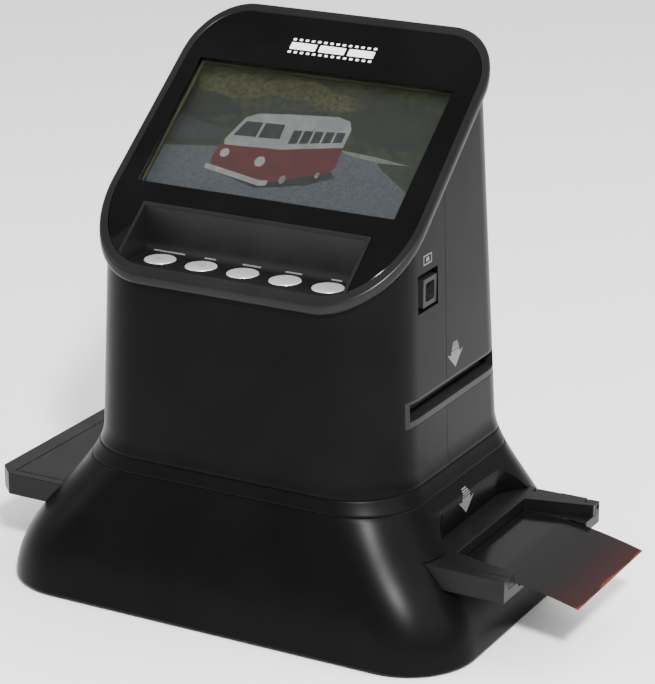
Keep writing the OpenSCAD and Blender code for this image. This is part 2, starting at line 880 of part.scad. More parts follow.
module tray_lid() color([0.1, 0.1, 0.1]) {
    lid_h = tray_top - frame_top;
    difference() {
        union() {
            translate([0, 0, frame_top]) linear_extrude(lid_h) polygon([
                [lid_left, lid_near], [tray_right, lid_near], [tray_right, lid_far], [lid_left, lid_far]
            ]);
            for (x = knuckles) {
                if (x + knuckle_w + 12 < tray_right) {
                    block([x + knuckle_w, lid_far - 1, frame_top + 0.4], [x + 21.8, tray_half - 0.2, tray_top]);
                }
            }
        }
        translate([0, 0, frame_top - 1]) linear_extrude(lid_h + 2) polygon([
            [mouth_x, mouth_y - mouth_half], [tray_right + 1, mouth_y - mouth_half - mouth_flare],
            [tray_right + 1, mouth_y + mouth_half + mouth_flare], [mouth_x, mouth_y + mouth_half]
        ]);
        for (w = window_x) {
            block([w[0], -window_half, frame_top - 1], [w[1], window_half, tray_top + 1]);
        }
        translate([knuckles[0] - 1, hinge_y, hinge_z]) rotate([0, 90, 0]) cylinder(r = hinge_r, h = 400);
    }
}

module hinge_pin() color([0.6, 0.6, 0.62]) {
    translate([knuckles[0], hinge_y, hinge_z]) rotate([0, 90, 0])
        cylinder(r = hinge_r, h = tray_right - 1 - knuckles[0]);
}

// The film lies flat in the tray and bends down at its mouth; the points go round its edge.
module film_strip() color([0.25, 0.12, 0.1, 0.7]) {
    start_x = -tray_left + 16;
    tip = [droop_x + film_out * cos(film_droop), film_z - film_out * sin(film_droop)];
    translate([0, film_w / 2, 0]) rotate([90, 0, 0]) linear_extrude(film_w) polygon([
        [start_x, film_z],
        [droop_x, film_z],
        tip,
        tip + film_t * [sin(film_droop), cos(film_droop)],
        [droop_x + film_t * tan(film_droop / 2), film_z + film_t],
        [start_x, film_z + film_t]
    ]);
}

module foot(x, y) color([0.05, 0.05, 0.05]) {
    translate([x, y, 0]) cylinder(r = foot_r, h = foot_h);
}

foot_x = base_w / 2 - 34;
foot_y = base_d / 2 - 16;
module foot_front_left() foot(-foot_x, -foot_y);
module foot_front_right() foot(foot_x, -foot_y);
module foot_back_left() foot(-foot_x, foot_y);
module foot_back_right() foot(foot_x, foot_y);

module base_plate() color([0.08, 0.08, 0.08]) {
    difference() {
        translate([0, 0, plate_z]) linear_extrude(plate_t) polygon(outline(plate_top, wall + gap));
        for (x = [-1, 1], y = [-1, 1]) {
            translate([x * boss_x, y * boss_y, 0]) cylinder(r = screw_r + 0.2, h = 10);
            translate([x * boss_x, y * boss_y, 0]) cylinder(r = head_r + 0.2, h = plate_z + 1.2);
        }
        for (k = [-5 : 5]) {
            block([k * 8 - 1.5, base_d / 2 - 18, 0], [k * 8 + 1.5, base_d / 2 - 10, 10]);
        }
    }
}

module base_screws() color([0.6, 0.6, 0.6]) {
    for (x = [-1, 1], y = [-1, 1]) {
        translate([x * boss_x, y * boss_y, plate_z]) cylinder(r = head_r, h = 1.2);
        translate([x * boss_x, y * boss_y, plate_z + 1.2]) cylinder(r = screw_r, h = 9);
    }
}

module board_screws() color([0.6, 0.6, 0.6]) {
    for (x = [-1, 1], z = board_holes) {
        translate([x * board_hole_x, main_board_y, z]) rotate([90, 0, 0]) cylinder(r = 2.4, h = 1.2);
        translate([x * board_hole_x, main_board_y, z]) rotate([-90, 0, 0]) cylinder(r = 1, h = board_t + 2.8);
    }
}

base_plate();
skirt();
waist_band();
front_shell();
rear_shell();
bezel();
face_glass();
window_mask();
screen_gasket();
display();
display_plate();
control_well();
button_mode();
button_left();
button_power();
button_right();
button_ok();
button_board();
tact_switches();
format_knob();
selector_link();
selector_switch();
slot_frame_right();
slot_frame_left();
film_gate();
light_tunnel();
tray_guide();
lamp_housing();
lamp_board();
diffuser();
optics_plate();
lens_barrel();
lens_glass();
sensor_housing();
sensor_board();
main_board();
usb_socket();
card_socket();
tray_frame();
tray_lid();
hinge_pin();
film_strip();
foot_front_left();
foot_front_right();
foot_back_left();
foot_back_right();
base_screws();
board_screws();
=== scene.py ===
"""Looks of a desktop film scanner with a sloping screen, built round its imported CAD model.

The lower housing, the tower shells, the bezel, the cover glass, the buttons, the film and the printed
marks are made here as fine meshes. Every other piece is the CAD solid with a soft edge and a finish.
"""
import logging
import math
from collections.abc import Callable, Iterable, Sequence
from dataclasses import dataclass
from enum import Enum

import bmesh
import bpy
from mathutils import Matrix, Vector


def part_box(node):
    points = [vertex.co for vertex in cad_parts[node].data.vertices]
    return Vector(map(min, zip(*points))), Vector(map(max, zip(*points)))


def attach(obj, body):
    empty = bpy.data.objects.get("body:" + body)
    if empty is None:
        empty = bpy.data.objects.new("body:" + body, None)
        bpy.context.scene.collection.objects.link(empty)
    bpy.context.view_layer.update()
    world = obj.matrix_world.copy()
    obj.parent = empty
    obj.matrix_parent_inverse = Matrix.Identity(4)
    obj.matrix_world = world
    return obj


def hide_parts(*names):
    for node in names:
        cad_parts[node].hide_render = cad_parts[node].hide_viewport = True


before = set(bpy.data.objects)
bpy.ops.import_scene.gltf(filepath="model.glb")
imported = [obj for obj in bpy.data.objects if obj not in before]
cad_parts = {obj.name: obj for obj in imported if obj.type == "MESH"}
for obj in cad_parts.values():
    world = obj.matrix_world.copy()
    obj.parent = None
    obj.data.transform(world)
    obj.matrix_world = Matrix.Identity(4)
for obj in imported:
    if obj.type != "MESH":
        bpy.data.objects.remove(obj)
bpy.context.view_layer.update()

MM = 0.001
LOG = logging.getLogger("scanner")
PRINT_ROOT = 0.12  # depth of a print below its surface, in millimetres

Colour = tuple[float, float, float]
Loop = list[Vector]
Flat = list[tuple[float, float]]
Patch = tuple[str, Colour, Colour, float, list[Flat]]


class Body(Enum):
    """The bodies of the model that pieces ride on."""

    HOUSING = "housing"
    TRAY = "film_tray"
    MODE = "mode_button"
    LEFT = "left_button"
    POWER = "power_button"
    RIGHT = "right_button"
    OK = "ok_button"
    SELECTOR = "format_selector"


class Icon(Enum):
    """The simple shapes printed on the buttons."""

    SQUARE = "square"
    LEFT = "left"
    RING = "ring"
    RIGHT = "right"
    BAR = "bar"


# ---------------------------------------------------------------- finishes


@dataclass(frozen=True)
class Finish:
    """A surface finish that builds its own node material once.

    Attributes:
        name: Name of the material.
        colour: Main base colour.
        tint: Second base colour, mixed in by a slow noise.
        rough: Lowest and highest roughness.
        grain: Size of the moulded grain in metres.
        depth: Depth of the grain in metres.
        stretch: Stretch of the grain along X, Y and Z.
        mottle: Size of the slow colour variation in metres.
        metallic: Metal share.
        coat: Clear coat weight.
        specular: Specular level.
        sheen: Sheen weight.
        transmission: Share of light that passes through.
        alpha: Opacity.
        ior: Index of refraction.
    """

    name: str
    colour: Colour
    tint: Colour
    rough: tuple[float, float] = (0.42, 0.52)
    grain: float = 0.0006
    depth: float = 0.00002
    stretch: tuple[float, float, float] = (1.0, 1.0, 1.0)
    mottle: float = 0.03
    metallic: float = 0.0
    coat: float = 0.0
    specular: float = 0.5
    sheen: float = 0.0
    transmission: float = 0.0
    alpha: float = 1.0
    ior: float = 1.5

    def material(self) -> bpy.types.Material:
        """Makes the node material, or returns the one made before.

        Returns:
            The finished material.
        """
        known = bpy.data.materials.get(self.name)
        if known is not None:
            return known
        made = bpy.data.materials.new(self.name)
        made.use_nodes = True
        tree = made.node_tree
        shader = tree.nodes["Principled BSDF"]
        shader.inputs["Metallic"].default_value = self.metallic
        shader.inputs["Coat Weight"].default_value = self.coat
        shader.inputs["Coat Roughness"].default_value = 0.06
        shader.inputs["Specular IOR Level"].default_value = self.specular
        shader.inputs["Sheen Weight"].default_value = self.sheen
        shader.inputs["Transmission Weight"].default_value = self.transmission
        shader.inputs["Alpha"].default_value = self.alpha
        shader.inputs["IOR"].default_value = self.ior
        place = tree.nodes.new("ShaderNodeTexCoord")
        spread = tree.nodes.new("ShaderNodeMapping")
        spread.inputs["Scale"].default_value = self.stretch
        tree.links.new(place.outputs["Object"], spread.inputs["Vector"])
        self.add_colour(tree, shader, spread.outputs["Vector"])
        self.add_roughness(tree, shader, spread.outputs["Vector"])
        self.add_grain(tree, shader, spread.outputs["Vector"])
        return made

    def noise(
        self, tree: bpy.types.NodeTree, vector: bpy.types.NodeSocket, size: float, detail: float
    ) -> bpy.types.Node:
        """Adds a noise of a given size in metres.

        Args:
            tree: The material's node tree.
            vector: The coordinates to read.
            size: Size of one patch in metres.
            detail: Octaves of detail.

        Returns:
            The noise node.
        """
        made = tree.nodes.new("ShaderNodeTexNoise")
        made.inputs["Scale"].default_value = 1.0 / size
        made.inputs["Detail"].default_value = detail
        tree.links.new(vector, made.inputs["Vector"])
        return made

    def add_colour(
        self, tree: bpy.types.NodeTree, shader: bpy.types.Node, vector: bpy.types.NodeSocket
    ) -> None:
        """Mixes the two colours by a slow noise.

        Args:
            tree: The material's node tree.
            shader: The surface shader.
            vector: The coordinates to read.
        """
        slow = self.noise(tree, vector, self.mottle, 3.0)
        ramp = tree.nodes.new("ShaderNodeValToRGB")
        ramp.color_ramp.elements[0].position = 0.35
        ramp.color_ramp.elements[1].position = 0.65
        ramp.color_ramp.elements[0].color = (*self.colour, 1.0)
        ramp.color_ramp.elements[1].color = (*self.tint, 1.0)
        tree.links.new(slow.outputs["Fac"], ramp.inputs["Fac"])
        tree.links.new(ramp.outputs["Color"], shader.inputs["Base Color"])

    def add_roughness(
        self, tree: bpy.types.NodeTree, shader: bpy.types.Node, vector: bpy.types.NodeSocket
    ) -> None:
        """Varies the roughness between its two limits.

        Args:
            tree: The material's node tree.
            shader: The surface shader.
            vector: The coordinates to read.
        """
        patches = self.noise(tree, vector, self.mottle * 0.4, 4.0)
        limits = tree.nodes.new("ShaderNodeMapRange")
        limits.inputs["To Min"].default_value = self.rough[0]
        limits.inputs["To Max"].default_value = self.rough[1]
        tree.links.new(patches.outputs["Fac"], limits.inputs["Value"])
        tree.links.new(limits.outputs["Result"], shader.inputs["Roughness"])

    def add_grain(
        self, tree: bpy.types.NodeTree, shader: bpy.types.Node, vector: bpy.types.NodeSocket
    ) -> None:
        """Adds the fine moulded grain as a bump.

        Args:
            tree: The material's node tree.
            shader: The surface shader.
            vector: The coordinates to read.
        """
        fine = self.noise(tree, vector, self.grain, 2.0)
        bump = tree.nodes.new("ShaderNodeBump")
        bump.inputs["Strength"].default_value = 0.6
        bump.inputs["Distance"].default_value = self.depth
        tree.links.new(fine.outputs["Fac"], bump.inputs["Height"])
        tree.links.new(bump.outputs["Normal"], shader.inputs["Normal"])


@dataclass(frozen=True)
class BoardFinish(Finish):
    """A circuit board's lacquer, with copper tracks showing under it."""

    def add_colour(
        self, tree: bpy.types.NodeTree, shader: bpy.types.Node, vector: bpy.types.NodeSocket
    ) -> None:
        """Draws tracks as the borders of a cell pattern.

        Args:
            tree: The material's node tree.
            shader: The surface shader.
            vector: The coordinates to read.
        """
        cells = tree.nodes.new("ShaderNodeTexVoronoi")
        cells.distance = "CHEBYCHEV"
        cells.feature = "F1"
        cells.inputs["Scale"].default_value = 1.0 / self.mottle
        ramp = tree.nodes.new("ShaderNodeValToRGB")
        ramp.color_ramp.interpolation = "CONSTANT"
        ramp.color_ramp.elements[0].color = (*self.colour, 1.0)
        ramp.color_ramp.elements[1].color = (*self.tint, 1.0)
        ramp.color_ramp.elements[1].position = 0.42
        tree.links.new(vector, cells.inputs["Vector"])
        tree.links.new(cells.outputs["Distance"], ramp.inputs["Fac"])
        tree.links.new(ramp.outputs["Color"], shader.inputs["Base Color"])


@dataclass(frozen=True)
class FilmFinish(Finish):
    """Processed film: smoky grey near the tray and red towards its free end."""

    start_x: float = 0.110
    end_x: float = 0.138
    stops: tuple[tuple[float, Colour], ...] = ()

    def add_colour(
        self, tree: bpy.types.NodeTree, shader: bpy.types.Node, vector: bpy.types.NodeSocket
    ) -> None:
        """Runs the film's colours along X, broken up by a slow noise.

        Args:
            tree: The material's node tree.
            shader: The surface shader.
            vector: The coordinates to read.
        """
        apart = tree.nodes.new("ShaderNodeSeparateXYZ")
        along = tree.nodes.new("ShaderNodeMapRange")
        along.inputs["From Min"].default_value = self.start_x
        along.inputs["From Max"].default_value = self.end_x
        cloud = self.noise(tree, vector, self.mottle, 3.0)
        shift = tree.nodes.new("ShaderNodeMath")
        shift.operation = "MULTIPLY_ADD"
        shift.inputs[1].default_value = 0.16
        ramp = tree.nodes.new("ShaderNodeValToRGB")
        while len(ramp.color_ramp.elements) < len(self.stops):
            ramp.color_ramp.elements.new(0.5)
        for element, (position, colour) in zip(ramp.color_ramp.elements, self.stops, strict=True):
            element.position = position
            element.color = (*colour, 1.0)
        tree.links.new(vector, apart.inputs["Vector"])
        tree.links.new(apart.outputs["X"], along.inputs["Value"])
        tree.links.new(cloud.outputs["Fac"], shift.inputs[0])
        tree.links.new(along.outputs["Result"], shift.inputs[2])
        tree.links.new(shift.outputs["Value"], ramp.inputs["Fac"])
        tree.links.new(ramp.outputs["Color"], shader.inputs["Base Color"])


@dataclass(frozen=True)
class LitFinish(Finish):
    """A patch of the lit picture on the screen."""

    glow: float = 0.42

    def add_colour(
        self, tree: bpy.types.NodeTree, shader: bpy.types.Node, vector: bpy.types.NodeSocket
    ) -> None:
        """Lights the patch in its two colours, and keeps its own surface dark.

        Args:
            tree: The material's node tree.
            shader: The surface shader.
            vector: The coordinates to read.
        """
        super().add_colour(tree, shader, vector)
        link = shader.inputs["Base Color"].links[0]
        source = link.from_socket
        tree.links.remove(link)
        shader.inputs["Base Color"].default_value = (0.01, 0.01, 0.01, 1.0)
        tree.links.new(source, shader.inputs["Emission Color"])
        shader.inputs["Emission Strength"].default_value = self.glow


CASING = Finish("casing_plastic", (0.0014, 0.0014, 0.0015), (0.0022, 0.0022, 0.0023), (0.30, 0.36),
                specular=0.05)
BAND = Finish("band_plastic", (0.0010, 0.0010, 0.0011), (0.0016, 0.0016, 0.0017), (0.36, 0.44), specular=0.06)
RIM = Finish("bezel_satin", (0.0050, 0.0050, 0.0054), (0.0070, 0.0070, 0.0074), (0.28, 0.36), 0.0004, 0.00001,
             specular=0.15)
TRIM = Finish("trim_plastic", (0.007, 0.007, 0.0075), (0.010, 0.010, 0.0105), (0.40, 0.50), specular=0.15)
WELL = Finish("well_plastic", (0.004, 0.004, 0.0042), (0.006, 0.006, 0.0063), (0.38, 0.48), specular=0.2)
TRAY = Finish("tray_plastic", (0.002, 0.002, 0.002), (0.004, 0.004, 0.004), (0.34, 0.46), 0.0009, 0.00006,
              specular=0.16)
COVER = Finish("cover_black", (0.002, 0.002, 0.002), (0.003, 0.003, 0.003), (0.10, 0.16), 0.002, 0.000001,
               specular=0.04)
PANE = Finish("clear_pane", (0.90, 0.93, 0.92), (0.88, 0.92, 0.91), (0.02, 0.04), 0.01, 0.0000005,
              specular=0.50, transmission=1.0, ior=1.08)
MASK = Finish("mask_ink", (0.003, 0.003, 0.003), (0.005, 0.005, 0.005), (0.60, 0.75), specular=0.1)
GASKET = Finish("gasket_foam", (0.060, 0.055, 0.025), (0.080, 0.072, 0.034), (0.70, 0.90), 0.0008, 0.0001)
SILVER = Finish("button_silver", (0.60, 0.61, 0.62), (0.68, 0.69, 0.70), (0.30, 0.40), 0.0003, 0.000006,
                metallic=0.55)
ICON = Finish("button_ink", (0.22, 0.225, 0.23), (0.27, 0.275, 0.28), (0.50, 0.60))
INK = Finish("print_grey", (0.085, 0.085, 0.085), (0.11, 0.11, 0.11), (0.50, 0.65), 0.0002, 0.00001)
WHITE_INK = Finish("print_white", (0.70, 0.70, 0.69), (0.78, 0.78, 0.77), (0.40, 0.50), 0.0002, 0.000005)
INNER = Finish("inner_plastic", (0.010, 0.010, 0.011), (0.016, 0.016, 0.017), (0.50, 0.62), 0.0008, 0.00004,
               specular=0.2)
PART = Finish("moulded_component", (0.018, 0.018, 0.020), (0.030, 0.030, 0.032), (0.35, 0.55), 0.0005,
              0.00003)
BOARD = BoardFinish("board_lacquer", (0.012, 0.085, 0.030), (0.050, 0.140, 0.040), (0.22, 0.34), mottle=0.004,
                    coat=0.4)
LAMP = Finish("lamp_white", (0.78, 0.78, 0.76), (0.84, 0.84, 0.82), (0.50, 0.60))
OPAL = Finish("opal_diffuser", (0.86, 0.87, 0.86), (0.92, 0.93, 0.92), (0.60, 0.75), transmission=0.25)
METAL = Finish("plated_metal", (0.52, 0.52, 0.53), (0.62, 0.62, 0.63), (0.20, 0.36), 0.0004, 0.00002,
               stretch=(1.0, 6.0, 6.0), metallic=1.0)
SCREW = Finish("zinc_screw", (0.42, 0.42, 0.44), (0.50, 0.50, 0.51), (0.30, 0.42), metallic=1.0, mottle=0.004)
BARREL = Finish("black_anodised", (0.012, 0.012, 0.012), (0.020, 0.020, 0.020), (0.30, 0.40), metallic=0.5)
LENS = Finish("coated_glass", (0.75, 0.82, 0.95), (0.80, 0.75, 0.95), (0.01, 0.03), transmission=1.0)
RUBBER = Finish("foot_rubber", (0.010, 0.010, 0.010), (0.016, 0.016, 0.016), (0.75, 0.90), 0.0007, 0.00008,
                specular=0.2)
FILM = FilmFinish(
    "processed_film", (0.02, 0.02, 0.02), (0.3, 0.05, 0.03), (0.10, 0.18), 0.004, 0.000004, mottle=0.02,
    specular=0.12, alpha=0.995,
    stops=((0.0, (0.003, 0.003, 0.003)), (0.45, (0.004, 0.003, 0.003)), (0.70, (0.010, 0.003, 0.003)),
           (1.0, (0.018, 0.005, 0.004)), (1.0, (0.09, 0.016, 0.008))),
)

# The CAD solids that show as they are: node, finish, width of the softened edge in mm, material slot
KEPT_NODES: tuple[tuple[str, Finish, float, str], ...] = (
    ("base_plate", INNER, 0.3, "inner_plastic"), ("window_mask", MASK, 0.0, "mask"),
    ("screen_gasket", GASKET, 0.0, "mask"), ("display", PART, 0.2, "screen"),
    ("display_plate", METAL, 0.15, "metal"), ("control_well", WELL, 0.2, "casing"),
    ("button_board", BOARD, 0.1, "circuit_board"), ("tact_switches", PART, 0.15, "component"),
    ("format_knob", TRIM, 0.25, "slot_trim"), ("selector_link", INNER, 0.2, "inner_plastic"),
    ("selector_switch", PART, 0.2, "component"), ("slot_frame_right", TRIM, 0.25, "slot_trim"),
    ("slot_frame_left", TRIM, 0.25, "slot_trim"), ("film_gate", INNER, 0.3, "inner_plastic"),
    ("light_tunnel", INNER, 0.3, "inner_plastic"), ("tray_guide", INNER, 0.3, "inner_plastic"),
    ("lamp_housing", LAMP, 0.3, "lamp_white"), ("lamp_board", LAMP, 0.0, "lamp_white"),
    ("diffuser", OPAL, 0.3, "diffuser"), ("optics_plate", INNER, 0.3, "inner_plastic"),
    ("lens_barrel", BARREL, 0.3, "lens_metal"), ("lens_glass", LENS, 0.2, "lens"),
    ("sensor_housing", PART, 0.3, "component"), ("sensor_board", BOARD, 0.1, "circuit_board"),
    ("main_board", BOARD, 0.1, "circuit_board"), ("usb_socket", METAL, 0.1, "metal"),
    ("card_socket", METAL, 0.08, "metal"), ("tray_frame", TRAY, 0.3, "tray"), ("tray_lid", TRAY, 0.3, "tray"),
    ("hinge_pin", METAL, 0.1, "metal"), ("foot_front_left", RUBBER, 0.3, "rubber"),
    ("foot_front_right", RUBBER, 0.3, "rubber"), ("foot_back_left", RUBBER, 0.3, "rubber"),
    ("foot_back_right", RUBBER, 0.3, "rubber"), ("base_screws", SCREW, 0.15, "screw"),
    ("board_screws", SCREW, 0.15, "screw"),
)


# ---------------------------------------------------------------- mesh work


def mesh_piece(name: str, points: Iterable[Vector], faces: Iterable[Sequence[int]]) -> bpy.types.Object:
    """Makes an object from points in millimetres.

    Args:
        name: Name of the piece.
        points: Corners in millimetres, in the model's frame.
        faces: Corner numbers of each face.

    Returns:
        The new object, with outward normals.
    """
    mesh = bpy.data.meshes.new(name)
    mesh.from_pydata([Vector(p) * MM for p in points], [], [list(f) for f in faces])
    work = bmesh.new()
    work.from_mesh(mesh)
    bmesh.ops.recalc_face_normals(work, faces=work.faces)
    work.to_mesh(mesh)
    work.free()
    made = bpy.data.objects.new(name, mesh)
    bpy.context.scene.collection.objects.link(made)
    return made


def loft(name: str, loops: Sequence[Loop], closed: bool) -> bpy.types.Object:
    """Skins a row of loops that have the same number of points.

    Args:
        name: Name of the piece.
        loops: The loops in order.
        closed: True joins the last loop to the first, False caps both ends.

    Returns:
        The new object.
    """
    count = len(loops[0])
    rows = len(loops)
    faces: list[list[int]] = []
    for k in range(rows if closed else rows - 1):
        low, high = k * count, (k + 1) % rows * count
        for i in range(count):
            j = (i + 1) % count
            faces.append([low + i, low + j, high + j, high + i])
    if not closed:
        faces.append(list(range(count)))
        faces.append([(rows - 1) * count + i for i in range(count)])
    return mesh_piece(name, [p for loop in loops for p in loop], faces)


def prism(name: str, plan: Flat, low: float, high: float) -> bpy.types.Object:
    """Draws a plan in XY up from one height to another.

    Args:
        name: Name of the piece.
        plan: Outline in millimetres.
        low: Lower height.
        high: Upper height.

    Returns:
        The new object.
    """
    return loft(name, [[Vector((x, y, z)) for x, y in plan] for z in (low, high)], False)


def block(name: str, low: Sequence[float], high: Sequence[float]) -> bpy.types.Object:
    """Makes a cutting box from its two corners in millimetres.

    Args:
        name: Name of the box.
        low: Lowest corner.
        high: Highest corner.

    Returns:
        The new object.
    """
    plan = [(low[0], low[1]), (high[0], low[1]), (high[0], high[1]), (low[0], high[1])]
    return prism(name, plan, low[2], high[2])


def combine(target: bpy.types.Object, tool: bpy.types.Object, operation: str) -> bpy.types.Object:
    """Applies a boolean and removes the tool.

    Args:
        target: The piece that is changed.
        tool: The solid that cuts, joins or bounds it.
        operation: DIFFERENCE, UNION or INTERSECT.

    Returns:
        The changed piece.
    """
    step = target.modifiers.new("step", "BOOLEAN")
    step.operation = operation
    step.solver = "EXACT"
    step.object = tool
    bpy.context.view_layer.objects.active = target
    bpy.ops.object.modifier_apply(modifier=step.name)
    bpy.data.objects.remove(tool)
    return target


def soften(piece: bpy.types.Object, width: float, segments: int = 3, angle: float = 38.0) -> None:
    """Rounds the sharp edges and shades the rest smooth.

    Args:
        piece: The piece to finish.
        width: Width of the rounding in millimetres; 0 leaves the edges sharp.
        segments: Steps of the rounding.
        angle: Edges sharper than this many degrees are rounded.
    """
    for face in piece.data.polygons:
        face.use_smooth = True
    if width <= 0:
        piece.data.set_sharp_from_angle(angle=math.radians(angle))
        return
    edge = piece.modifiers.new("edge", "BEVEL")
    edge.width = width * MM
    edge.segments = segments
    edge.limit_method = "ANGLE"
    edge.angle_limit = math.radians(angle)
    edge.harden_normals = True
    edge.use_clamp_overlap = True


def dress(piece: bpy.types.Object, finish: Finish, body: Body, nodes: Sequence[str] = ()) -> None:
    """Gives a new piece its finish, its body and the CAD nodes it stands for.

    Args:
        piece: The new piece.
        finish: Its finish.
        body: The body that it rides on.
        nodes: The CAD nodes that it replaces.
    """
    piece.data.materials.append(finish.material())
    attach(piece, body.value)
    if nodes:
        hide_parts(*nodes)
    LOG.info("piece %s rides on %s", piece.name, body.value)


def arc(centre: tuple[float, float], radius: float, start: float, sweep: float, steps: int) -> Flat:
    """Points along an arc.

    Args:
        centre: Centre of the arc.
        radius: Its radius.
        start: First angle in degrees.
        sweep: Angle that it covers in degrees.
        steps: Number of steps.

    Returns:
        The points, both ends included.
    """
    turns = [math.radians(start + sweep * k / steps) for k in range(steps + 1)]
    return [(centre[0] + radius * math.cos(t), centre[1] + radius * math.sin(t)) for t in turns]


def rounded(x0: float, y0: float, x1: float, y1: float, radius: float, steps: int = 5) -> Flat:
    """Outline of a rectangle with round corners.

    Args:
        x0: Lowest first coordinate.
        y0: Lowest second coordinate.
        x1: Highest first coordinate.
        y1: Highest second coordinate.
        radius: Corner radius.
        steps: Steps of each corner.

    Returns:
        The outline, anticlockwise.
    """
    return (
        arc((x1 - radius, y1 - radius), radius, 0, 90, steps)
        + arc((x0 + radius, y1 - radius), radius, 90, 90, steps)
        + arc((x0 + radius, y0 + radius), radius, 180, 90, steps)
        + arc((x1 - radius, y0 + radius), radius, 270, 90, steps)
    )


def printed(
    name: str, shapes: Sequence[Flat], place: Callable[[float, float, float], Vector], lift: float
) -> bpy.types.Object:
    """Makes flat printed shapes as thin closed solids on a surface.

    Args:
        name: Name of the piece.
        shapes: Outlines in the surface's own two coordinates.
        place: Turns the two coordinates and a height above the surface into a point.
        lift: Height of the print above the surface, in millimetres.

    Returns:
        The new object.
    """
    points: list[Vector] = []
    faces: list[list[int]] = []
    for shape in shapes:
        first, count = len(points), len(shape)
        points += [place(a, b, -PRINT_ROOT) for a, b in shape] + [place(a, b, lift) for a, b in shape]
        faces.append([first + i for i in range(count)])
        faces.append([first + count + i for i in range(count)])
        for i in range(count):
            j = (i + 1) % count
            faces.append([first + i, first + j, first + count + j, first + count + i])
    return mesh_piece(name, points, faces)


# ---------------------------------------------------------------- the object's form


@dataclass
class HousingForm:
    """The flared and leaning outline that every outer piece follows, in millimetres."""

    base_w: float = 200.0
    base_d: float = 136.0
    base_r: float = 28.5
    tower_w: float = 138.0
    tower_front: float = 53.8
    tower_back: float = 62.4
    front_r: float = 28.5
    back_r: float = 19.0
    side_draft: float = 0.03
    front_draft: float = 0.03
    back_draft: float = 0.07
    flare_h: float = 66.0
    flare_power: float = 1.2
    skirt_h: float = 53.2
    band_top: float = 58.9
    wall: float = 2.4
    niche_x: float = 75.0
    corner_steps: int = 20

    def share(self, z: float) -> float:
        """Share of the way from the footprint to the tower at height z."""
        t = min(max(z, 0.0) / self.flare_h, 1.0) ** self.flare_power
        return t * t * (3.0 - 2.0 * t)

    def half_w(self, z: float) -> float:
        """Half of the width at height z."""
        return self.base_w / 2 - (self.base_w - self.tower_w) / 2 * self.share(z) - self.side_draft * z

    def front_d(self, z: float) -> float:
        """Distance of the front at height z."""
        return self.base_d / 2 - (self.base_d / 2 - self.tower_front) * self.share(z) - self.front_draft * z

    def back_d(self, z: float) -> float:
        """Distance of the back at height z."""
        return self.base_d / 2 - (self.base_d / 2 - self.tower_back) * self.share(z) - self.back_draft * z

    def outline(self, z: float, inset: float) -> Flat:
        """Outline of the housing at height z.

        Args:
            z: Height.
            inset: Distance that the outline is moved in.

        Returns:
            The outline, anticlockwise from the back of the right side.
        """
        w, f, b = self.half_w(z) - inset, self.front_d(z) - inset, self.back_d(z) - inset
        rf = self.base_r - (self.base_r - self.front_r) * self.share(z) - inset
        rb = self.base_r - (self.base_r - self.back_r) * self.share(z) - inset
        n = self.corner_steps
        return (
            arc((w - rb, b - rb), rb, 0, 90, n)
            + arc((-w + rb, b - rb), rb, 90, 90, n)
            + arc((-w + rf, -f + rf), rf, 180, 90, n)
            + arc((w - rf, -f + rf), rf, 270, 90, n)
        )

    def ring(self, z: float, inset: float) -> Loop:
        """The outline at height z as points in space."""
        return [Vector((x, y, z)) for x, y in self.outline(z, inset)]

    def side_x(self, y: float, z: float) -> float:
        """Distance of the right side's surface at a place.

        Args:
            y: Place along the depth.
            z: Height.

        Returns:
            The surface's x.
        """
        w, f, b = self.half_w(z), self.front_d(z), self.back_d(z)
        rf = self.base_r - (self.base_r - self.front_r) * self.share(z)
        rb = self.base_r - (self.base_r - self.back_r) * self.share(z)
        if y < -f + rf:
            return w - rf + math.sqrt(max(rf**2 - (y + f - rf) ** 2, 0.0))
        if y > b - rb:
            return w - rb + math.sqrt(max(rb**2 - (y - b + rb) ** 2, 0.0))
        return w


@dataclass
class FaceForm:
    """The sloping screen face: its plane, and how the housing's walls meet it."""

    form: HousingForm
    tilt: float = 38.7
    z: float = 159.8
    y: float = -20.6
    bezel_t: float = 4.5
    rim_w: float = 2.7
    over: float = 3.2
    edge: float = 0.5
    glass_gap: float = 0.15
    glass_top: float = 0.2
    glass_t: float = 1.6
    mask_t: float = 1.0
    window_w: float = 110.7
    window_h: float = 61.3
    panel_x: float = -1.2
    well_w: float = 95.4
    well_wall: float = 1.2
    well_z: float = 134.8
    well_back_y: float = -27.3
    well_lean: float = 2.0

    def point(self, a: float, b: float, up: float) -> Vector:
        """A point from its place across and up the face and its height above it."""
        c, s = math.cos(math.radians(self.tilt)), math.sin(math.radians(self.tilt))
        return Vector((a, self.y + b * c - up * s, self.z + b * s + up * c))

    def ring(self, inset: float, depth: float) -> Loop:
        """Where the housing's walls, moved in, meet the plane at a depth below the face.

        Args:
            inset: Distance that the walls are moved in.
            depth: Depth of the plane below the face.

        Returns:
            The loop of points.
        """
        low, high = self.form.outline(80.0, inset), self.form.outline(180.0, inset)
        slope, fall = math.tan(math.radians(self.tilt)), depth / math.cos(math.radians(self.tilt))
        made: Loop = []
        for (x0, y0), (x1, y1) in zip(low, high, strict=True):
            lean_x, lean_y = (x1 - x0) / 100.0, (y1 - y0) / 100.0
            foot_x, foot_y = x0 - 80.0 * lean_x, y0 - 80.0 * lean_y
            z = (self.z + (foot_y - self.y) * slope - fall) / (1.0 - lean_y * slope)
            made.append(Vector((foot_x + lean_x * z, foot_y + lean_y * z, z)))
        return made

    def well_cutter(self, y_high: float, below: float, above: float) -> bpy.types.Object:
        """The box that clears the button well out of the face.

        Args:
            y_high: Its far edge.
            below: Depth below the well's floor.
            above: Height above the well's floor.

        Returns:
            The cutting box.
        """
        half = self.well_w / 2 + self.well_wall + 0.2
        return block("cutter", (-half, -90.0, self.well_z - below), (half, y_high, self.well_z + above))


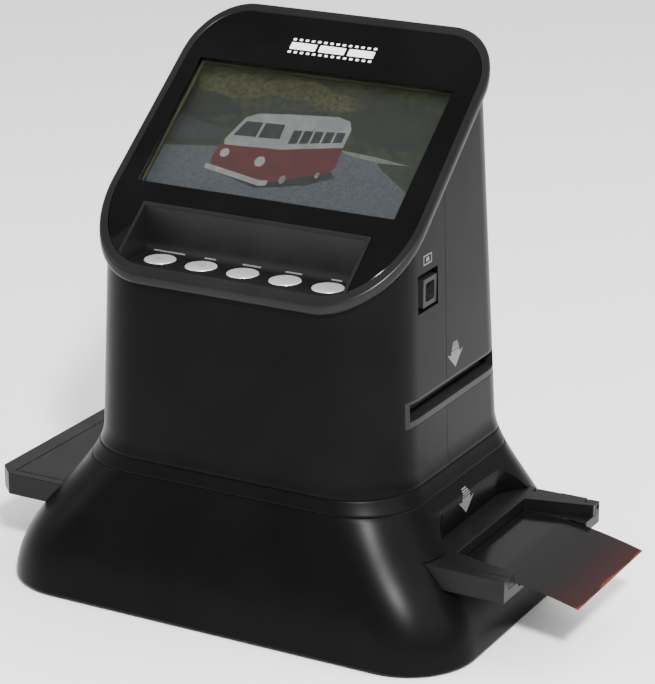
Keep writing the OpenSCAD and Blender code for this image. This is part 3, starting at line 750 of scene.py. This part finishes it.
# ---------------------------------------------------------------- sub-assemblies


@dataclass
class LowerHousing:
    """The flared lower housing with its tray slot and niches, and the band above it."""

    form: HousingForm
    bottom: float = 0.8
    shelf: float = 27.9
    slot_half: float = 44.4
    slot_top: float = 37.7
    niche_half: float = 41.0
    niche_y: float = 5.0
    niche_r: float = 20.0
    reach: float = 115.0
    sole_edge: tuple[tuple[float, float], ...] = ((0.0, 1.2), (0.35, 0.45), (1.2, 0.0))
    sole_top: float = 2.4
    side_steps: int = 30
    groove: float = 0.45
    lip: float = 0.4
    lip_z: float = 0.12
    lip_in: float = 0.12
    edge_round: float = 0.35
    cut_top: float = 90.0

    def niche_plan(self, grow: float, side: int) -> Flat:
        """Plan of the scooped niche on one side.

        Args:
            grow: Distance that the plan is moved out.
            side: 1 for the right side, -1 for the left.

        Returns:
            The outline.
        """
        x0, half, r = self.form.niche_x - grow, self.niche_half + grow, self.niche_r + grow
        low, high = self.niche_y - half, self.niche_y + half
        plan = [(self.reach, low), (self.reach, high)]
        plan += arc((x0 + r, high - r), r, 90, 90, 16) + arc((x0 + r, low + r), r, 180, 90, 16)
        return [(side * x, y) for x, y in plan]

    def build(self) -> None:
        """Makes the lower housing and the band."""
        form = self.form
        steps, low = self.side_steps, self.sole_top
        edge = [form.ring(self.bottom + up, inset) for up, inset in self.sole_edge]
        rise = [low + (form.skirt_h - self.lip - low) * k / steps for k in range(steps + 1)]
        top = [form.ring(form.skirt_h - 0.1, self.lip_in), form.ring(form.skirt_h, self.groove)]
        shell = loft("lower_housing", edge + [form.ring(z, 0.0) for z in rise] + top, False)
        inner = [form.ring(z, form.wall) for z in [-5.0] + rise + [form.skirt_h + 5.0]]
        cavity = loft("cavity", inner, False)
        for side in (1, -1):
            keep = prism("keep", self.niche_plan(form.wall, side), self.shelf - form.wall, self.cut_top)
            combine(cavity, keep, "DIFFERENCE")
        combine(shell, cavity, "DIFFERENCE")
        for side in (1, -1):
            niche = prism("niche", self.niche_plan(0.0, side), self.shelf, self.cut_top)
            combine(shell, niche, "DIFFERENCE")
        slot = block("slot", (-150.0, -self.slot_half, self.shelf), (150.0, self.slot_half, self.slot_top))
        combine(shell, slot, "DIFFERENCE")
        soften(shell, self.edge_round)
        dress(shell, CASING, Body.HOUSING, ["skirt"])
        self.build_band()

    def build_band(self) -> None:
        """Makes the band between the lower housing and the tower."""
        form = self.form
        low, high, groove = form.skirt_h, form.band_top, self.groove
        levels = [(low, groove), (low + self.lip_z, self.lip_in), (low + self.lip, 0.0)]
        levels += [(low + (high - low) * k / 6, 0.0) for k in range(1, 6)]
        levels += [(high - self.lip, 0.0), (high - self.lip_z, self.lip_in), (high, groove)]
        loops = [form.ring(z, t) for z, t in levels] + [form.ring(high, form.wall), form.ring(low, form.wall)]
        band = loft("waist_ring", loops, True)
        soften(band, 0.0, angle=50.0)
        dress(band, BAND, Body.HOUSING, ["waist_band"])


@dataclass
class Tower:
    """The front and rear shells of the tower."""

    form: HousingForm
    face: FaceForm
    seam_y: float = 1.0
    seam_gap: float = 0.12
    frame_y: tuple[float, float] = (-31.0, 47.0)
    frame_z: tuple[float, float] = (82.5, 93.1)
    frame_x: float = 57.0
    cut_x: float = 90.0
    knob_y: tuple[float, float] = (-21.8, -5.4)
    knob_z: tuple[float, float] = (125.0, 139.7)
    port_z: float = 112.0
    ports: tuple[tuple[float, float, float], ...] = ((-27.0, -18.0, 3.4), (8.0, 33.0, 2.4))
    port_gap: float = 0.5
    port_depth: float = 1.5
    vents_each_side: int = 4
    vent_pitch: float = 7.0
    vent_half: float = 1.2
    vent_z: tuple[float, float] = (168.0, 186.0)
    vent_y: tuple[float, float] = (44.0, 60.0)
    vent_r: float = 1.1
    edge_round: float = 0.22

    def walls(self, name: str) -> bpy.types.Object:
        """Makes the whole tower wall.

        Args:
            name: Name of the object.

        Returns:
            The closed wall.
        """
        form, face = self.form, self.face
        rise = [form.band_top + 0.4 + (form.flare_h - form.band_top - 0.4) * k / 6 for k in range(7)]
        high = [form.flare_h + (110.0 - form.flare_h) * k / 3 for k in range(1, 4)]
        loops = [form.ring(form.band_top, 0.45), form.ring(form.band_top + 0.12, 0.12)]
        loops += [form.ring(z, 0.0) for z in rise + high]
        loops += [face.ring(0.0, face.bezel_t), face.ring(form.wall, face.bezel_t)]
        loops += [form.ring(z, form.wall) for z in reversed(rise + high)]
        loops.append(form.ring(form.band_top, form.wall))
        return loft(name, loops, True)

    def build(self) -> None:
        """Makes both shells."""
        half = self.seam_gap / 2
        front = self.walls("front_housing")
        combine(front, block("half", (-150, -150, 0), (150, self.seam_y - half, 300)), "INTERSECT")
        rear = self.walls("rear_housing")
        combine(rear, block("half", (-150, self.seam_y + half, 0), (150, 150, 300)), "INTERSECT")
        for shell in (front, rear):
            for side in (1, -1):
                x0, x1 = sorted((side * self.frame_x, side * self.cut_x))
                low, high = (x0, self.frame_y[0], self.frame_z[0]), (x1, self.frame_y[1], self.frame_z[1])
                combine(shell, block("opening", low, high), "DIFFERENCE")
        low = (self.frame_x, self.knob_y[0], self.knob_z[0])
        recess = block("recess", low, (self.cut_x, self.knob_y[1], self.knob_z[1]))
        combine(front, recess, "DIFFERENCE")
        wall_y = self.form.back_d(self.port_z) - self.form.wall - self.port_depth
        for x0, x1, height in self.ports:
            gap = self.port_gap
            low = (x0 - gap, wall_y, self.port_z - gap)
            combine(rear, block("port", low, (x1 + gap, 70.0, self.port_z + height + gap)), "DIFFERENCE")
        for k in range(-self.vents_each_side, self.vents_each_side + 1):
            x0, half = self.vent_pitch * k, self.vent_half
            plan = rounded(x0 - half, self.vent_z[0], x0 + half, self.vent_z[1], self.vent_r)
            vent = loft("vent", [[Vector((x, y, z)) for x, z in plan] for y in self.vent_y], False)
            combine(rear, vent, "DIFFERENCE")
        for shell, node in ((front, "front_shell"), (rear, "rear_shell")):
            soften(shell, self.edge_round)
            dress(shell, CASING, Body.HOUSING, [node])


@dataclass
class ScreenFace:
    """The bezel, the black cover with its window, the pane and the trim round the well."""

    face: FaceForm
    trim_lift: float = 0.5
    trim_low: float = -33.6

    def build(self) -> None:
        """Makes every piece of the face."""
        self.build_bezel()
        self.build_cover()
        self.build_trim()

    def build_bezel(self) -> None:
        """Makes the overhanging bezel with its rounded section."""
        face = self.face
        bottom = face.glass_top + face.glass_t + face.mask_t
        side = 2.0
        section: list[tuple[float, float]] = [(0.0, face.bezel_t)]
        section += [(-face.over * math.sin(t), side + (face.bezel_t - side) * math.cos(t))
                    for t in (math.radians(15.0 * k) for k in range(1, 7))]
        radius = 0.7
        section += [(-face.over + radius - radius * math.cos(t), radius - radius * math.sin(t))
                    for t in (math.radians(15.0 * k) for k in range(0, 7))]
        inner = face.rim_w + face.edge - face.over
        section += [(inner - 0.3, 0.0), (inner - 0.09, 0.09), (inner, 0.3), (inner, bottom)]
        section += [(inner + 2.4, bottom), (inner + 2.4, face.bezel_t)]
        bezel = loft("bezel_ring", [face.ring(t, d) for t, d in section], True)
        cutter = self.well_tool()
        combine(bezel, cutter, "DIFFERENCE")
        soften(bezel, 0.0, angle=42.0)
        dress(bezel, RIM, Body.HOUSING, ["bezel"])

    def well_tool(self) -> bpy.types.Object:
        """The well's box, bounded by the glass's outline."""
        face = self.face
        tool = face.well_cutter(-29.6, 12.0, 12.0)
        plan = face.form.outline(face.well_z, face.glass_gap)
        return combine(tool, prism("plan", plan, 60.0, 260.0), "INTERSECT")

    def build_cover(self) -> None:
        """Makes the glossy black cover and the clear pane in its window."""
        face = self.face
        low, high = face.glass_top + face.glass_t, face.glass_top
        gap = face.glass_gap
        loops = [face.ring(gap, low), face.ring(gap, high + 0.15), face.ring(gap + 0.15, high)]
        cover = loft("cover_glass", loops, False)
        combine(cover, face.well_cutter(face.well_back_y, 20.0, 60.0), "DIFFERENCE")
        x0, x1 = face.panel_x - face.window_w / 2, face.panel_x + face.window_w / 2
        window = rounded(x0, 0.0, x1, face.window_h, 0.4, 3)
        loops = [[face.point(a, b, up) for a, b in window] for up in (-6.0, 3.0)]
        combine(cover, loft("window", loops, False), "DIFFERENCE")
        soften(cover, 0.0, angle=30.0)
        dress(cover, COVER, Body.HOUSING, ["face_glass"])
        inside = rounded(x0 + 0.02, 0.02, x1 - 0.02, face.window_h - 0.02, 0.4, 3)
        loops = [[face.point(a, b, -up) for a, b in inside] for up in (low, high)]
        pane = loft("window_pane", loops, False)
        soften(pane, 0.0, angle=30.0)
        dress(pane, PANE, Body.HOUSING)

    def build_trim(self) -> None:
        """Makes the pale edge that frames the well on three sides."""
        face = self.face
        c = math.cos(math.radians(face.tilt))
        back = (face.well_back_y - face.well_lean + face.well_wall - face.y) / c
        front = (face.well_back_y - face.well_lean - face.y) / c
        inner, outer = face.well_w / 2, face.well_w / 2 + face.well_wall
        plan = [(-outer, self.trim_low), (-inner, self.trim_low), (-inner, front), (inner, front),
                (inner, self.trim_low), (outer, self.trim_low), (outer, back), (-outer, back)]
        loops = [[face.point(a, b, up) for a, b in plan] for up in (0.0, self.trim_lift)]
        trim = loft("well_edge", loops, False)
        soften(trim, 0.2)
        dress(trim, RIM, Body.HOUSING)


@dataclass
class Picture:
    """The picture on the screen: a van on a road before trees, made of lit patches."""

    face: FaceForm
    depth: float = 5.95
    width: float = 112.6
    height: float = 62.6
    layer: float = 0.012

    def place(self, level: int) -> Callable[[float, float], Vector]:
        """Turns a share across and a share down the picture into a point on one layer.

        Args:
            level: Number of the layer, from the back.

        Returns:
            The function that places a point.
        """
        x0 = self.face.panel_x - self.width / 2
        y1 = (self.face.window_h + self.height) / 2

        def put(u: float, v: float) -> Vector:
            """Places one point."""
            up = level * self.layer - self.depth
            return self.face.point(x0 + u * self.width, y1 - v * self.height, up)

        return put

    def oval(self, u: float, v: float, ru: float, rv: float) -> Flat:
        """Outline of an oval round a point."""
        return [(u + ru * x, v + rv * y) for x, y in arc((0.0, 0.0), 1.0, 0, 348, 29)]

    def scene(self) -> list[Patch]:
        """Lists the patches from the back to the front.

        Returns:
            Name, two colours, size of the variation in metres and the outlines of each patch.
        """
        fence = [[(0.012 * k, 0.40 + 0.004 * k), (0.012 * k + 0.010, 0.40 + 0.004 * k),
                  (0.012 * k + 0.010, 0.62), (0.012 * k, 0.62)] for k in range(17)]
        windows = [[(0.462 + 0.040 * k, 0.405 - 0.007 * k), (0.494 + 0.040 * k, 0.400 - 0.007 * k),
                    (0.494 + 0.040 * k, 0.500 - 0.013 * k), (0.462 + 0.040 * k, 0.512 - 0.013 * k)]
                   for k in range(5)]
        rack = [[(0.33 + 0.05 * k, 0.262 - 0.006 * k), (0.336 + 0.05 * k, 0.262 - 0.006 * k),
                 (0.336 + 0.05 * k, 0.300 - 0.006 * k), (0.33 + 0.05 * k, 0.300 - 0.006 * k)]
                for k in range(6)]
        rack.append([(0.31, 0.262), (0.60, 0.226), (0.60, 0.236), (0.31, 0.272)])
        body = [(0.218, 0.560), (0.445, 0.540), (0.668, 0.480), (0.674, 0.640), (0.655, 0.680),
                (0.450, 0.815), (0.430, 0.822), (0.225, 0.755), (0.205, 0.690)]
        cabin = [(0.262, 0.360), (0.300, 0.318), (0.430, 0.290), (0.600, 0.262), (0.650, 0.285),
                 (0.668, 0.345), (0.668, 0.482), (0.445, 0.560), (0.230, 0.580), (0.222, 0.540)]
        glass = [[(0.272, 0.385), (0.336, 0.380), (0.332, 0.495), (0.246, 0.502)],
                 [(0.346, 0.379), (0.420, 0.374), (0.424, 0.485), (0.342, 0.494)]]
        return [
            ("trees_far", (0.006, 0.010, 0.004), (0.060, 0.075, 0.012), 0.0030,
             [[(0, 0), (1, 0), (1, 1), (0, 1)]]),
            ("trees_light", (0.020, 0.028, 0.006), (0.165, 0.155, 0.022), 0.0016,
             [self.oval(0.16, 0.13, 0.15, 0.10), self.oval(0.40, 0.10, 0.13, 0.08),
              self.oval(0.56, 0.16, 0.10, 0.07)]),
            ("trees_dark", (0.003, 0.006, 0.002), (0.018, 0.032, 0.008), 0.0022,
             [self.oval(0.84, 0.28, 0.20, 0.17), self.oval(0.08, 0.30, 0.12, 0.10)]),
            ("fence", (0.035, 0.042, 0.050), (0.075, 0.085, 0.095), 0.004, fence),
            ("verge", (0.012, 0.020, 0.008), (0.055, 0.065, 0.020), 0.0012,
             [[(0, 0.58), (0.22, 0.55), (0.22, 0.64), (0, 0.66)],
              [(0.70, 0.52), (1, 0.55), (1, 0.80), (0.86, 0.66)]]),
            ("road", (0.105, 0.120, 0.150), (0.200, 0.215, 0.245), 0.0010,
             [[(0, 0.645), (0.20, 0.60), (0.66, 0.500), (0.80, 0.53), (0.84, 0.60), (1, 0.78), (1, 1),
               (0, 1)]]),
            ("path", (0.30, 0.29, 0.27), (0.42, 0.41, 0.38), 0.0020,
             [[(0.66, 0.500), (0.80, 0.515), (0.93, 0.545), (0.82, 0.555), (0.70, 0.530)]]),
            ("shade", (0.012, 0.013, 0.016), (0.030, 0.032, 0.038), 0.0030,
             [[(0.20, 0.765), (0.42, 0.865), (0.60, 0.790), (0.69, 0.705), (0.66, 0.66), (0.45, 0.78)]]),
            ("tyres", (0.004, 0.004, 0.004), (0.012, 0.012, 0.012), 0.0020,
             [self.oval(0.505, 0.770, 0.026, 0.065), self.oval(0.622, 0.705, 0.018, 0.050)]),
            ("lower_paint", (0.150, 0.006, 0.008), (0.260, 0.012, 0.014), 0.0060, [body]),
            ("upper_paint", (0.46, 0.48, 0.48), (0.62, 0.63, 0.62), 0.0060, [cabin]),
            ("panes", (0.010, 0.012, 0.014), (0.050, 0.055, 0.060), 0.0030, glass + windows),
            ("roof_rack", (0.03, 0.03, 0.028), (0.07, 0.07, 0.065), 0.0020, rack),
            ("lamps", (0.60, 0.60, 0.56), (0.80, 0.80, 0.76), 0.0010,
             [self.oval(0.247, 0.640, 0.017, 0.034), self.oval(0.392, 0.668, 0.019, 0.038)]),
            ("bumper", (0.52, 0.53, 0.53), (0.70, 0.70, 0.69), 0.0040,
             [[(0.198, 0.735), (0.430, 0.805), (0.455, 0.795), (0.455, 0.832), (0.430, 0.845),
               (0.198, 0.772)]]),
            ("hubs", (0.25, 0.25, 0.25), (0.45, 0.45, 0.45), 0.0010,
             [self.oval(0.505, 0.775, 0.012, 0.032), self.oval(0.622, 0.708, 0.008, 0.024)]),
        ]

    def build(self) -> None:
        """Makes the lit patches as one piece."""
        points: list[Vector] = []
        faces: list[list[int]] = []
        kinds: list[int] = []
        finishes: list[LitFinish] = []
        for level, (name, colour, tint, size, shapes) in enumerate(self.scene()):
            put = self.place(level)
            finishes.append(LitFinish("picture_" + name, colour, tint, (0.5, 0.6), mottle=size))
            for shape in shapes:
                faces.append([len(points) + i for i in range(len(shape))])
                points += [put(u, v) for u, v in shape]
                kinds.append(level)
        mesh = bpy.data.meshes.new("screen_picture")
        mesh.from_pydata([p * MM for p in points], [], faces)
        made = bpy.data.objects.new("screen_picture", mesh)
        bpy.context.scene.collection.objects.link(made)
        for finish in finishes:
            mesh.materials.append(finish.material())
        for face, kind in zip(mesh.polygons, kinds, strict=True):
            face.material_index = kind
        up = self.face.point(0, 0, 1) - self.face.point(0, 0, 0)
        for face in mesh.polygons:
            if face.normal.dot(up) < 0:
                face.flip()
        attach(made, Body.HOUSING.value)
        LOG.info("piece %s has %d patches", made.name, len(kinds))


@dataclass
class PushButton:
    """One silver push button with its printed icon."""

    number: int
    body: Body
    node: str
    icon: Icon
    pitch: float = 18.1
    centre_x: float = -1.2
    y: float = -35.6
    radius: float = 6.2
    floor: float = 134.8
    rise: float = 0.3
    sides: int = 64
    round_over: float = 0.45
    crown: float = 0.13
    flange: float = 1.0
    flange_drop: float = 2.3
    flange_t: float = 0.7
    nub_r: float = 1.8
    nub_t: float = 0.2

    @property
    def x(self) -> float:
        """Place of the button across the well."""
        return self.centre_x + (self.number - 2) * self.pitch

    def build(self) -> None:
        """Makes the button and its icon."""
        top, low = self.floor + self.rise, self.floor - self.flange_drop
        r, wide, foot = self.radius, self.radius + self.flange, low - self.flange_t
        nub = self.nub_r
        profile = [(0.0, low - self.flange_t - self.nub_t), (nub, low - self.flange_t - self.nub_t)]
        profile += [(nub, foot), (wide, foot), (wide, low), (r, low)]
        profile += [(r, top - 0.55)]
        over = self.round_over
        profile += [(r - over + over * math.cos(t), top - 0.55 + 0.42 * math.sin(t))
                    for t in (math.radians(18.0 * k) for k in range(1, 6))]
        profile += [(r * k / 6, top - self.crown * (k / 6) ** 2) for k in (5, 4, 3, 2, 1)]
        profile.append((0.0, top))
        steps = self.sides
        loops = [[Vector((self.x + max(d, 0.001) * math.cos(math.tau * i / steps),
                          self.y + max(d, 0.001) * math.sin(math.tau * i / steps), z)) for i in range(steps)]
                 for d, z in profile]
        cap = loft(self.node + "_cap", loops, False)
        soften(cap, 0.0, angle=50.0)
        dress(cap, SILVER, self.body, [self.node])

        def place(a: float, b: float, up: float) -> Vector:
            """Puts a point of the icon on the cap."""
            drop = self.crown * (math.hypot(a, b) / r) ** 2
            return Vector((self.x + a, self.y + b, top - drop + up))

        mark = printed(self.node + "_icon", self.shapes(), place, 0.03)
        soften(mark, 0.0)
        dress(mark, ICON, self.body)

    def shapes(self) -> list[Flat]:
        """Outlines of the icon, round the button's middle.

        Returns:
            The outlines in millimetres.
        """
        if self.icon is Icon.LEFT:
            return [[(1.7, -2.0), (1.7, 2.0), (-2.1, 0.0)]]
        if self.icon is Icon.RIGHT:
            return [[(-1.7, -2.0), (2.1, 0.0), (-1.7, 2.0)]]
        if self.icon is Icon.RING:
            parts, inner, outer = 24, 1.5, 2.1
            turns = [math.tau * k / parts for k in range(parts + 1)]
            return [[(r * math.cos(t), r * math.sin(t)) for r, t in
                     ((inner, t0), (outer, t0), (outer, t1), (inner, t1))]
                    for t0, t1 in zip(turns, turns[1:], strict=False)]
        if self.icon is Icon.SQUARE:
            return [rounded(-1.8, -1.4, 1.8, 1.4, 0.4)]
        return [rounded(-2.0, -1.3, 2.0, -0.5, 0.3), rounded(-2.0, 0.5, 2.0, 1.3, 0.3)]


@dataclass
class Marks:
    """The generic printed marks: captions, film pictogram, format sign and arrows."""

    form: HousingForm
    face: FaceForm
    upper: tuple[float, float, float] = (8.5, 95.7, 106.3)
    lower: tuple[float, float, float] = (1.9, 40.0, 50.4)
    arrow_w: float = 13.0
    sign: tuple[float, float] = (-13.6, 144.3)
    film_a: float = -2.4
    film_b: float = 72.4
    film_half: float = 19.0
    well_fillet: float = 4.0
    caption_widths: tuple[float, ...] = (14.0, 5.0, 8.0, 7.0, 4.5)
    caption_half: float = 0.35
    pitch: float = 18.1

    def arrow(self, centre: float, low: float, high: float) -> list[Flat]:
        """An arrow that points down, with a striped tail.

        Args:
            centre: Its middle.
            low: Height of its tip.
            high: Height of the end of its tail.

        Returns:
            The outlines.
        """
        half, shoulder = self.arrow_w / 2, low + (high - low) * 0.50
        neck = half * 0.52
        head = [(centre, low), (centre + half, shoulder + 0.7), (centre + neck, shoulder),
                (centre + neck, shoulder + 1.4), (centre - neck, shoulder + 1.4),
                (centre - neck, shoulder), (centre - half, shoulder + 0.7)]
        made: list[Flat] = [head]
        base, bars = shoulder + 1.8, 4
        pitch = (high - base) / bars
        for k in range(bars):
            wide = neck * (1.0 - 0.12 * (k + 0.5))
            z = base + pitch * k
            thick = pitch * (0.74 - 0.08 * k)
            made.append([(centre - wide, z), (centre + wide, z), (centre + wide * 0.94, z + thick),
                         (centre - wide * 0.94, z + thick)])
        return made

    def build(self) -> None:
        """Makes every printed mark."""
        form, face = self.form, self.face

        def on_side(y: float, z: float, up: float) -> Vector:
            """Puts a point on the right side."""
            return Vector((form.side_x(y, z) + up, y, z))

        def on_niche(y: float, z: float, up: float) -> Vector:
            """Puts a point on the niche's wall or on the flare above it."""
            return Vector((min(form.niche_x, form.side_x(y, z)) + up, y, z))

        self.put("slot_arrow", self.arrow(*self.upper), on_side, INK)
        self.put("tray_arrow", self.arrow(*self.lower), on_niche, INK)
        y, z = self.sign
        bars = ((-3.4, -1.9, 3.4, -1.4), (-3.4, 1.4, 3.4, 1.9), (-3.4, -1.4, -2.9, 1.4),
                (2.9, -1.4, 3.4, 1.4))
        frame_lines = [[(y + a, z + b), (y + c, z + b), (y + c, z + d), (y + a, z + d)]
                       for a, b, c, d in bars]
        frame_lines.append(rounded(y - 1.2, z - 0.8, y + 1.2, z + 0.8, 0.2))
        self.put("format_sign", frame_lines, on_side, INK)
        self.put("film_sign", self.film_shapes(), face.point, WHITE_INK, -face.glass_top)
        self.build_captions()

    def put(
        self, name: str, shapes: list[Flat], place: Callable[[float, float, float], Vector], finish: Finish,
        sink: float = 0.0,
    ) -> None:
        """Makes one mark and dresses it.

        Args:
            name: Name of the piece.
            shapes: Its outlines.
            place: The function that puts a point on the surface.
            finish: Its ink.
            sink: Height of the surface in the function's own measure.
        """
        mark = printed(name, shapes, lambda a, b, up: place(a, b, up + sink), 0.04)
        soften(mark, 0.0)
        dress(mark, finish, Body.HOUSING)

    def film_shapes(self) -> list[Flat]:
        """A strip of three film frames between two rows of holes.

        Returns:
            The outlines on the face.
        """
        a0, b0, half = self.film_a, self.film_b, self.film_half
        made: list[Flat] = []
        for k in range(3):
            middle = a0 + (k - 1) * 2 * half / 3
            made.append(rounded(middle - half / 3 + 0.7, b0 - 1.7, middle + half / 3 - 0.7, b0 + 1.7, 0.4))
        holes = 14
        for k in range(holes):
            middle = a0 - half + (k + 0.5) * 2 * half / holes
            for b in (b0 - 3.1, b0 + 3.1):
                made.append(rounded(middle - 0.7, b - 0.5, middle + 0.7, b + 0.5, 0.2))
        return made

    def build_captions(self) -> None:
        """Makes the short bars that stand for the captions behind the buttons."""
        face = self.face
        fillet, lean = self.well_fillet, face.tilt
        foot_y = face.well_back_y - fillet + fillet * math.sin(math.radians(lean))
        foot_z = face.well_z + fillet - fillet * math.cos(math.radians(lean))
        shapes: list[Flat] = []
        for k, width in enumerate(self.caption_widths):
            middle, half = face.panel_x + (k - 2) * self.pitch, self.caption_half
            shapes.append(rounded(middle - width / 2, -half, middle + width / 2, half, 0.3))

        def place(a: float, b: float, up: float) -> Vector:
            """Puts a point on the fillet behind the buttons."""
            c, s = math.cos(math.radians(lean)), math.sin(math.radians(lean))
            return Vector((a, foot_y + b * c - up * s, foot_z + b * s + up * c))

        self.put("caption_bars", shapes, place, INK)


@dataclass
class FilmStrip:
    """The strip of roll film that lies in the tray and hangs out of its mouth."""

    half: float = 30.75
    start_x: float = -96.3
    bend_x: float = 101.6
    steps: int = 28
    thick: float = 0.16
    clear: float = 0.02
    tip_short: float = 0.4
    tip_clear: float = 0.1

    def build(self) -> None:
        """Makes the film as a thin curved sheet."""
        low, high = (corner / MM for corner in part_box("film_strip"))
        flat_z = high.z - self.thick - self.clear
        tip_x = high.x - self.tip_short
        drop = flat_z - low.z - self.tip_clear
        rows: list[tuple[float, float]] = [(self.start_x, flat_z)]
        for k in range(self.steps + 1):
            x = self.bend_x + (tip_x - self.bend_x) * k / self.steps
            t = (x - self.bend_x) / (tip_x - self.bend_x)
            rows.append((x, flat_z - drop * (1.25 * t - 0.25 * (1.0 - (1.0 - t) ** 2)) * t**0.25))
        section = rows + [(x, z + self.thick) for x, z in reversed(rows)]
        edges = (-self.half, -self.half * 0.5, 0.0, self.half * 0.5, self.half)
        loops = [[Vector((x, y, z)) for x, z in section] for y in edges]
        film = loft("film_sheet", loops, False)
        soften(film, 0.0, angle=60.0)
        dress(film, FILM, Body.TRAY, ["film_strip"])


@dataclass
class KeptSolids:
    """The CAD solids that show as they are, with softened edges and their finishes."""

    def build(self) -> None:
        """Dresses every kept node."""
        for name, finish, width, slot in KEPT_NODES:
            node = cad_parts[name]
            mesh = node.data
            normals = mesh.attributes.get("custom_normal")
            if normals is not None:
                mesh.attributes.remove(normals)
            mesh.materials.clear()
            mesh.materials.append(finish.material())
            join = node.modifiers.new("join", "WELD")
            join.merge_threshold = 0.000002
            soften(node, width, segments=2, angle=32.0)
            LOG.info("node %s has finish %s", name, finish.name)


@dataclass
class Studio:
    """The floor, the lights and the camera."""

    place: tuple[float, float, float] = (0.4828, -0.8584, 0.4393)
    azimuth: float = 28.54
    elevation: float = 19.07
    roll: float = 0.14
    lens: float = 141.47
    sensor: float = 36.0
    shift: tuple[float, float] = (-0.00164, -0.00649)
    floor_half: float = 9000.0
    floor_z: float = -0.1
    room: float = 0.95

    def build(self) -> None:
        """Makes the whole studio."""
        self.build_camera()
        self.build_floor()
        self.build_world()
        middle = (0.0, 0.0, 0.10)
        self.light("key_right", (1.10, -0.10, 0.75), middle, (0.9, 0.9), 9.0)
        self.light("front_glow", (0.80, -1.05, 1.15), (0.05, -0.05, 0.04), (0.16, 0.16), 70.0)
        self.light("left_fill", (-1.20, -0.50, 0.80), middle, (0.6, 1.0), 4.0)
        self.light("top_soft", (0.45, 0.70, 1.45), middle, (1.1, 0.8), 14.0)

    def build_camera(self) -> None:
        """Makes the camera at its place and turn."""
        az, el, roll = (math.radians(x) for x in (self.azimuth, self.elevation, self.roll))
        back = Vector((math.sin(az) * math.cos(el), -math.cos(az) * math.cos(el), math.sin(el)))
        right = Vector((math.cos(az), math.sin(az), 0.0))
        up = back.cross(right)
        turned_right = math.cos(roll) * right + math.sin(roll) * up
        turned_up = -math.sin(roll) * right + math.cos(roll) * up
        data = bpy.data.cameras.new("camera")
        data.lens = self.lens
        data.sensor_width = self.sensor
        data.sensor_fit = "AUTO"
        data.shift_x, data.shift_y = self.shift
        camera = bpy.data.objects.new("camera", data)
        bpy.context.scene.collection.objects.link(camera)
        turn = Matrix((turned_right, turned_up, back)).transposed().to_4x4()
        camera.matrix_world = Matrix.Translation(self.place) @ turn
        bpy.context.scene.camera = camera

    def build_floor(self) -> None:
        """Makes the pale floor."""
        size = self.floor_half
        floor = mesh_piece("floor", [Vector((x * size, y * size, self.floor_z)) for x, y in
                                     ((-1, -1), (1, -1), (1, 1), (-1, 1))], [[0, 1, 2, 3]])
        paper = Finish("floor_paper", (0.92, 0.92, 0.92), (0.94, 0.94, 0.94), (0.7, 0.8), 0.002, 0.00001,
                       mottle=0.5)
        floor.data.materials.append(paper.material())

    def build_world(self) -> None:
        """Gives the room an even white light."""
        world = bpy.data.worlds.new("room")
        world.use_nodes = True
        sky = world.node_tree.nodes["Background"]
        sky.inputs["Color"].default_value = (1.0, 1.0, 1.0, 1.0)
        sky.inputs["Strength"].default_value = self.room
        bpy.context.scene.world = world

    def light(
        self, name: str, place: Sequence[float], target: Sequence[float], size: tuple[float, float],
        power: float,
    ) -> None:
        """Makes one soft light.

        Args:
            name: Name of the light.
            place: Where it stands, in metres.
            target: The point that it faces.
            size: Width and height in metres.
            power: Power in watts.
        """
        data = bpy.data.lights.new(name, "AREA")
        data.shape = "RECTANGLE"
        data.size, data.size_y = size
        data.energy = power
        lamp = bpy.data.objects.new(name, data)
        bpy.context.scene.collection.objects.link(lamp)
        way = Vector(target) - Vector(place)
        lamp.matrix_world = Matrix.Translation(place) @ way.to_track_quat("-Z", "Y").to_matrix().to_4x4()


def main() -> None:
    """Builds the studio and every sub-assembly in order."""
    logging.basicConfig(level=logging.INFO, format="%(name)s: %(message)s")
    form = HousingForm()
    face = FaceForm(form)
    Studio().build()
    KeptSolids().build()
    LowerHousing(form).build()
    Tower(form, face).build()
    ScreenFace(face).build()
    Picture(face).build()
    buttons = ((Body.MODE, "button_mode", Icon.SQUARE), (Body.LEFT, "button_left", Icon.LEFT),
               (Body.POWER, "button_power", Icon.RING), (Body.RIGHT, "button_right", Icon.RIGHT),
               (Body.OK, "button_ok", Icon.BAR))
    for number, (body, node, icon) in enumerate(buttons):
        PushButton(number, body, node, icon).build()
    Marks(form, face).build()
    FilmStrip().build()


if __name__ == "__main__":
    main()
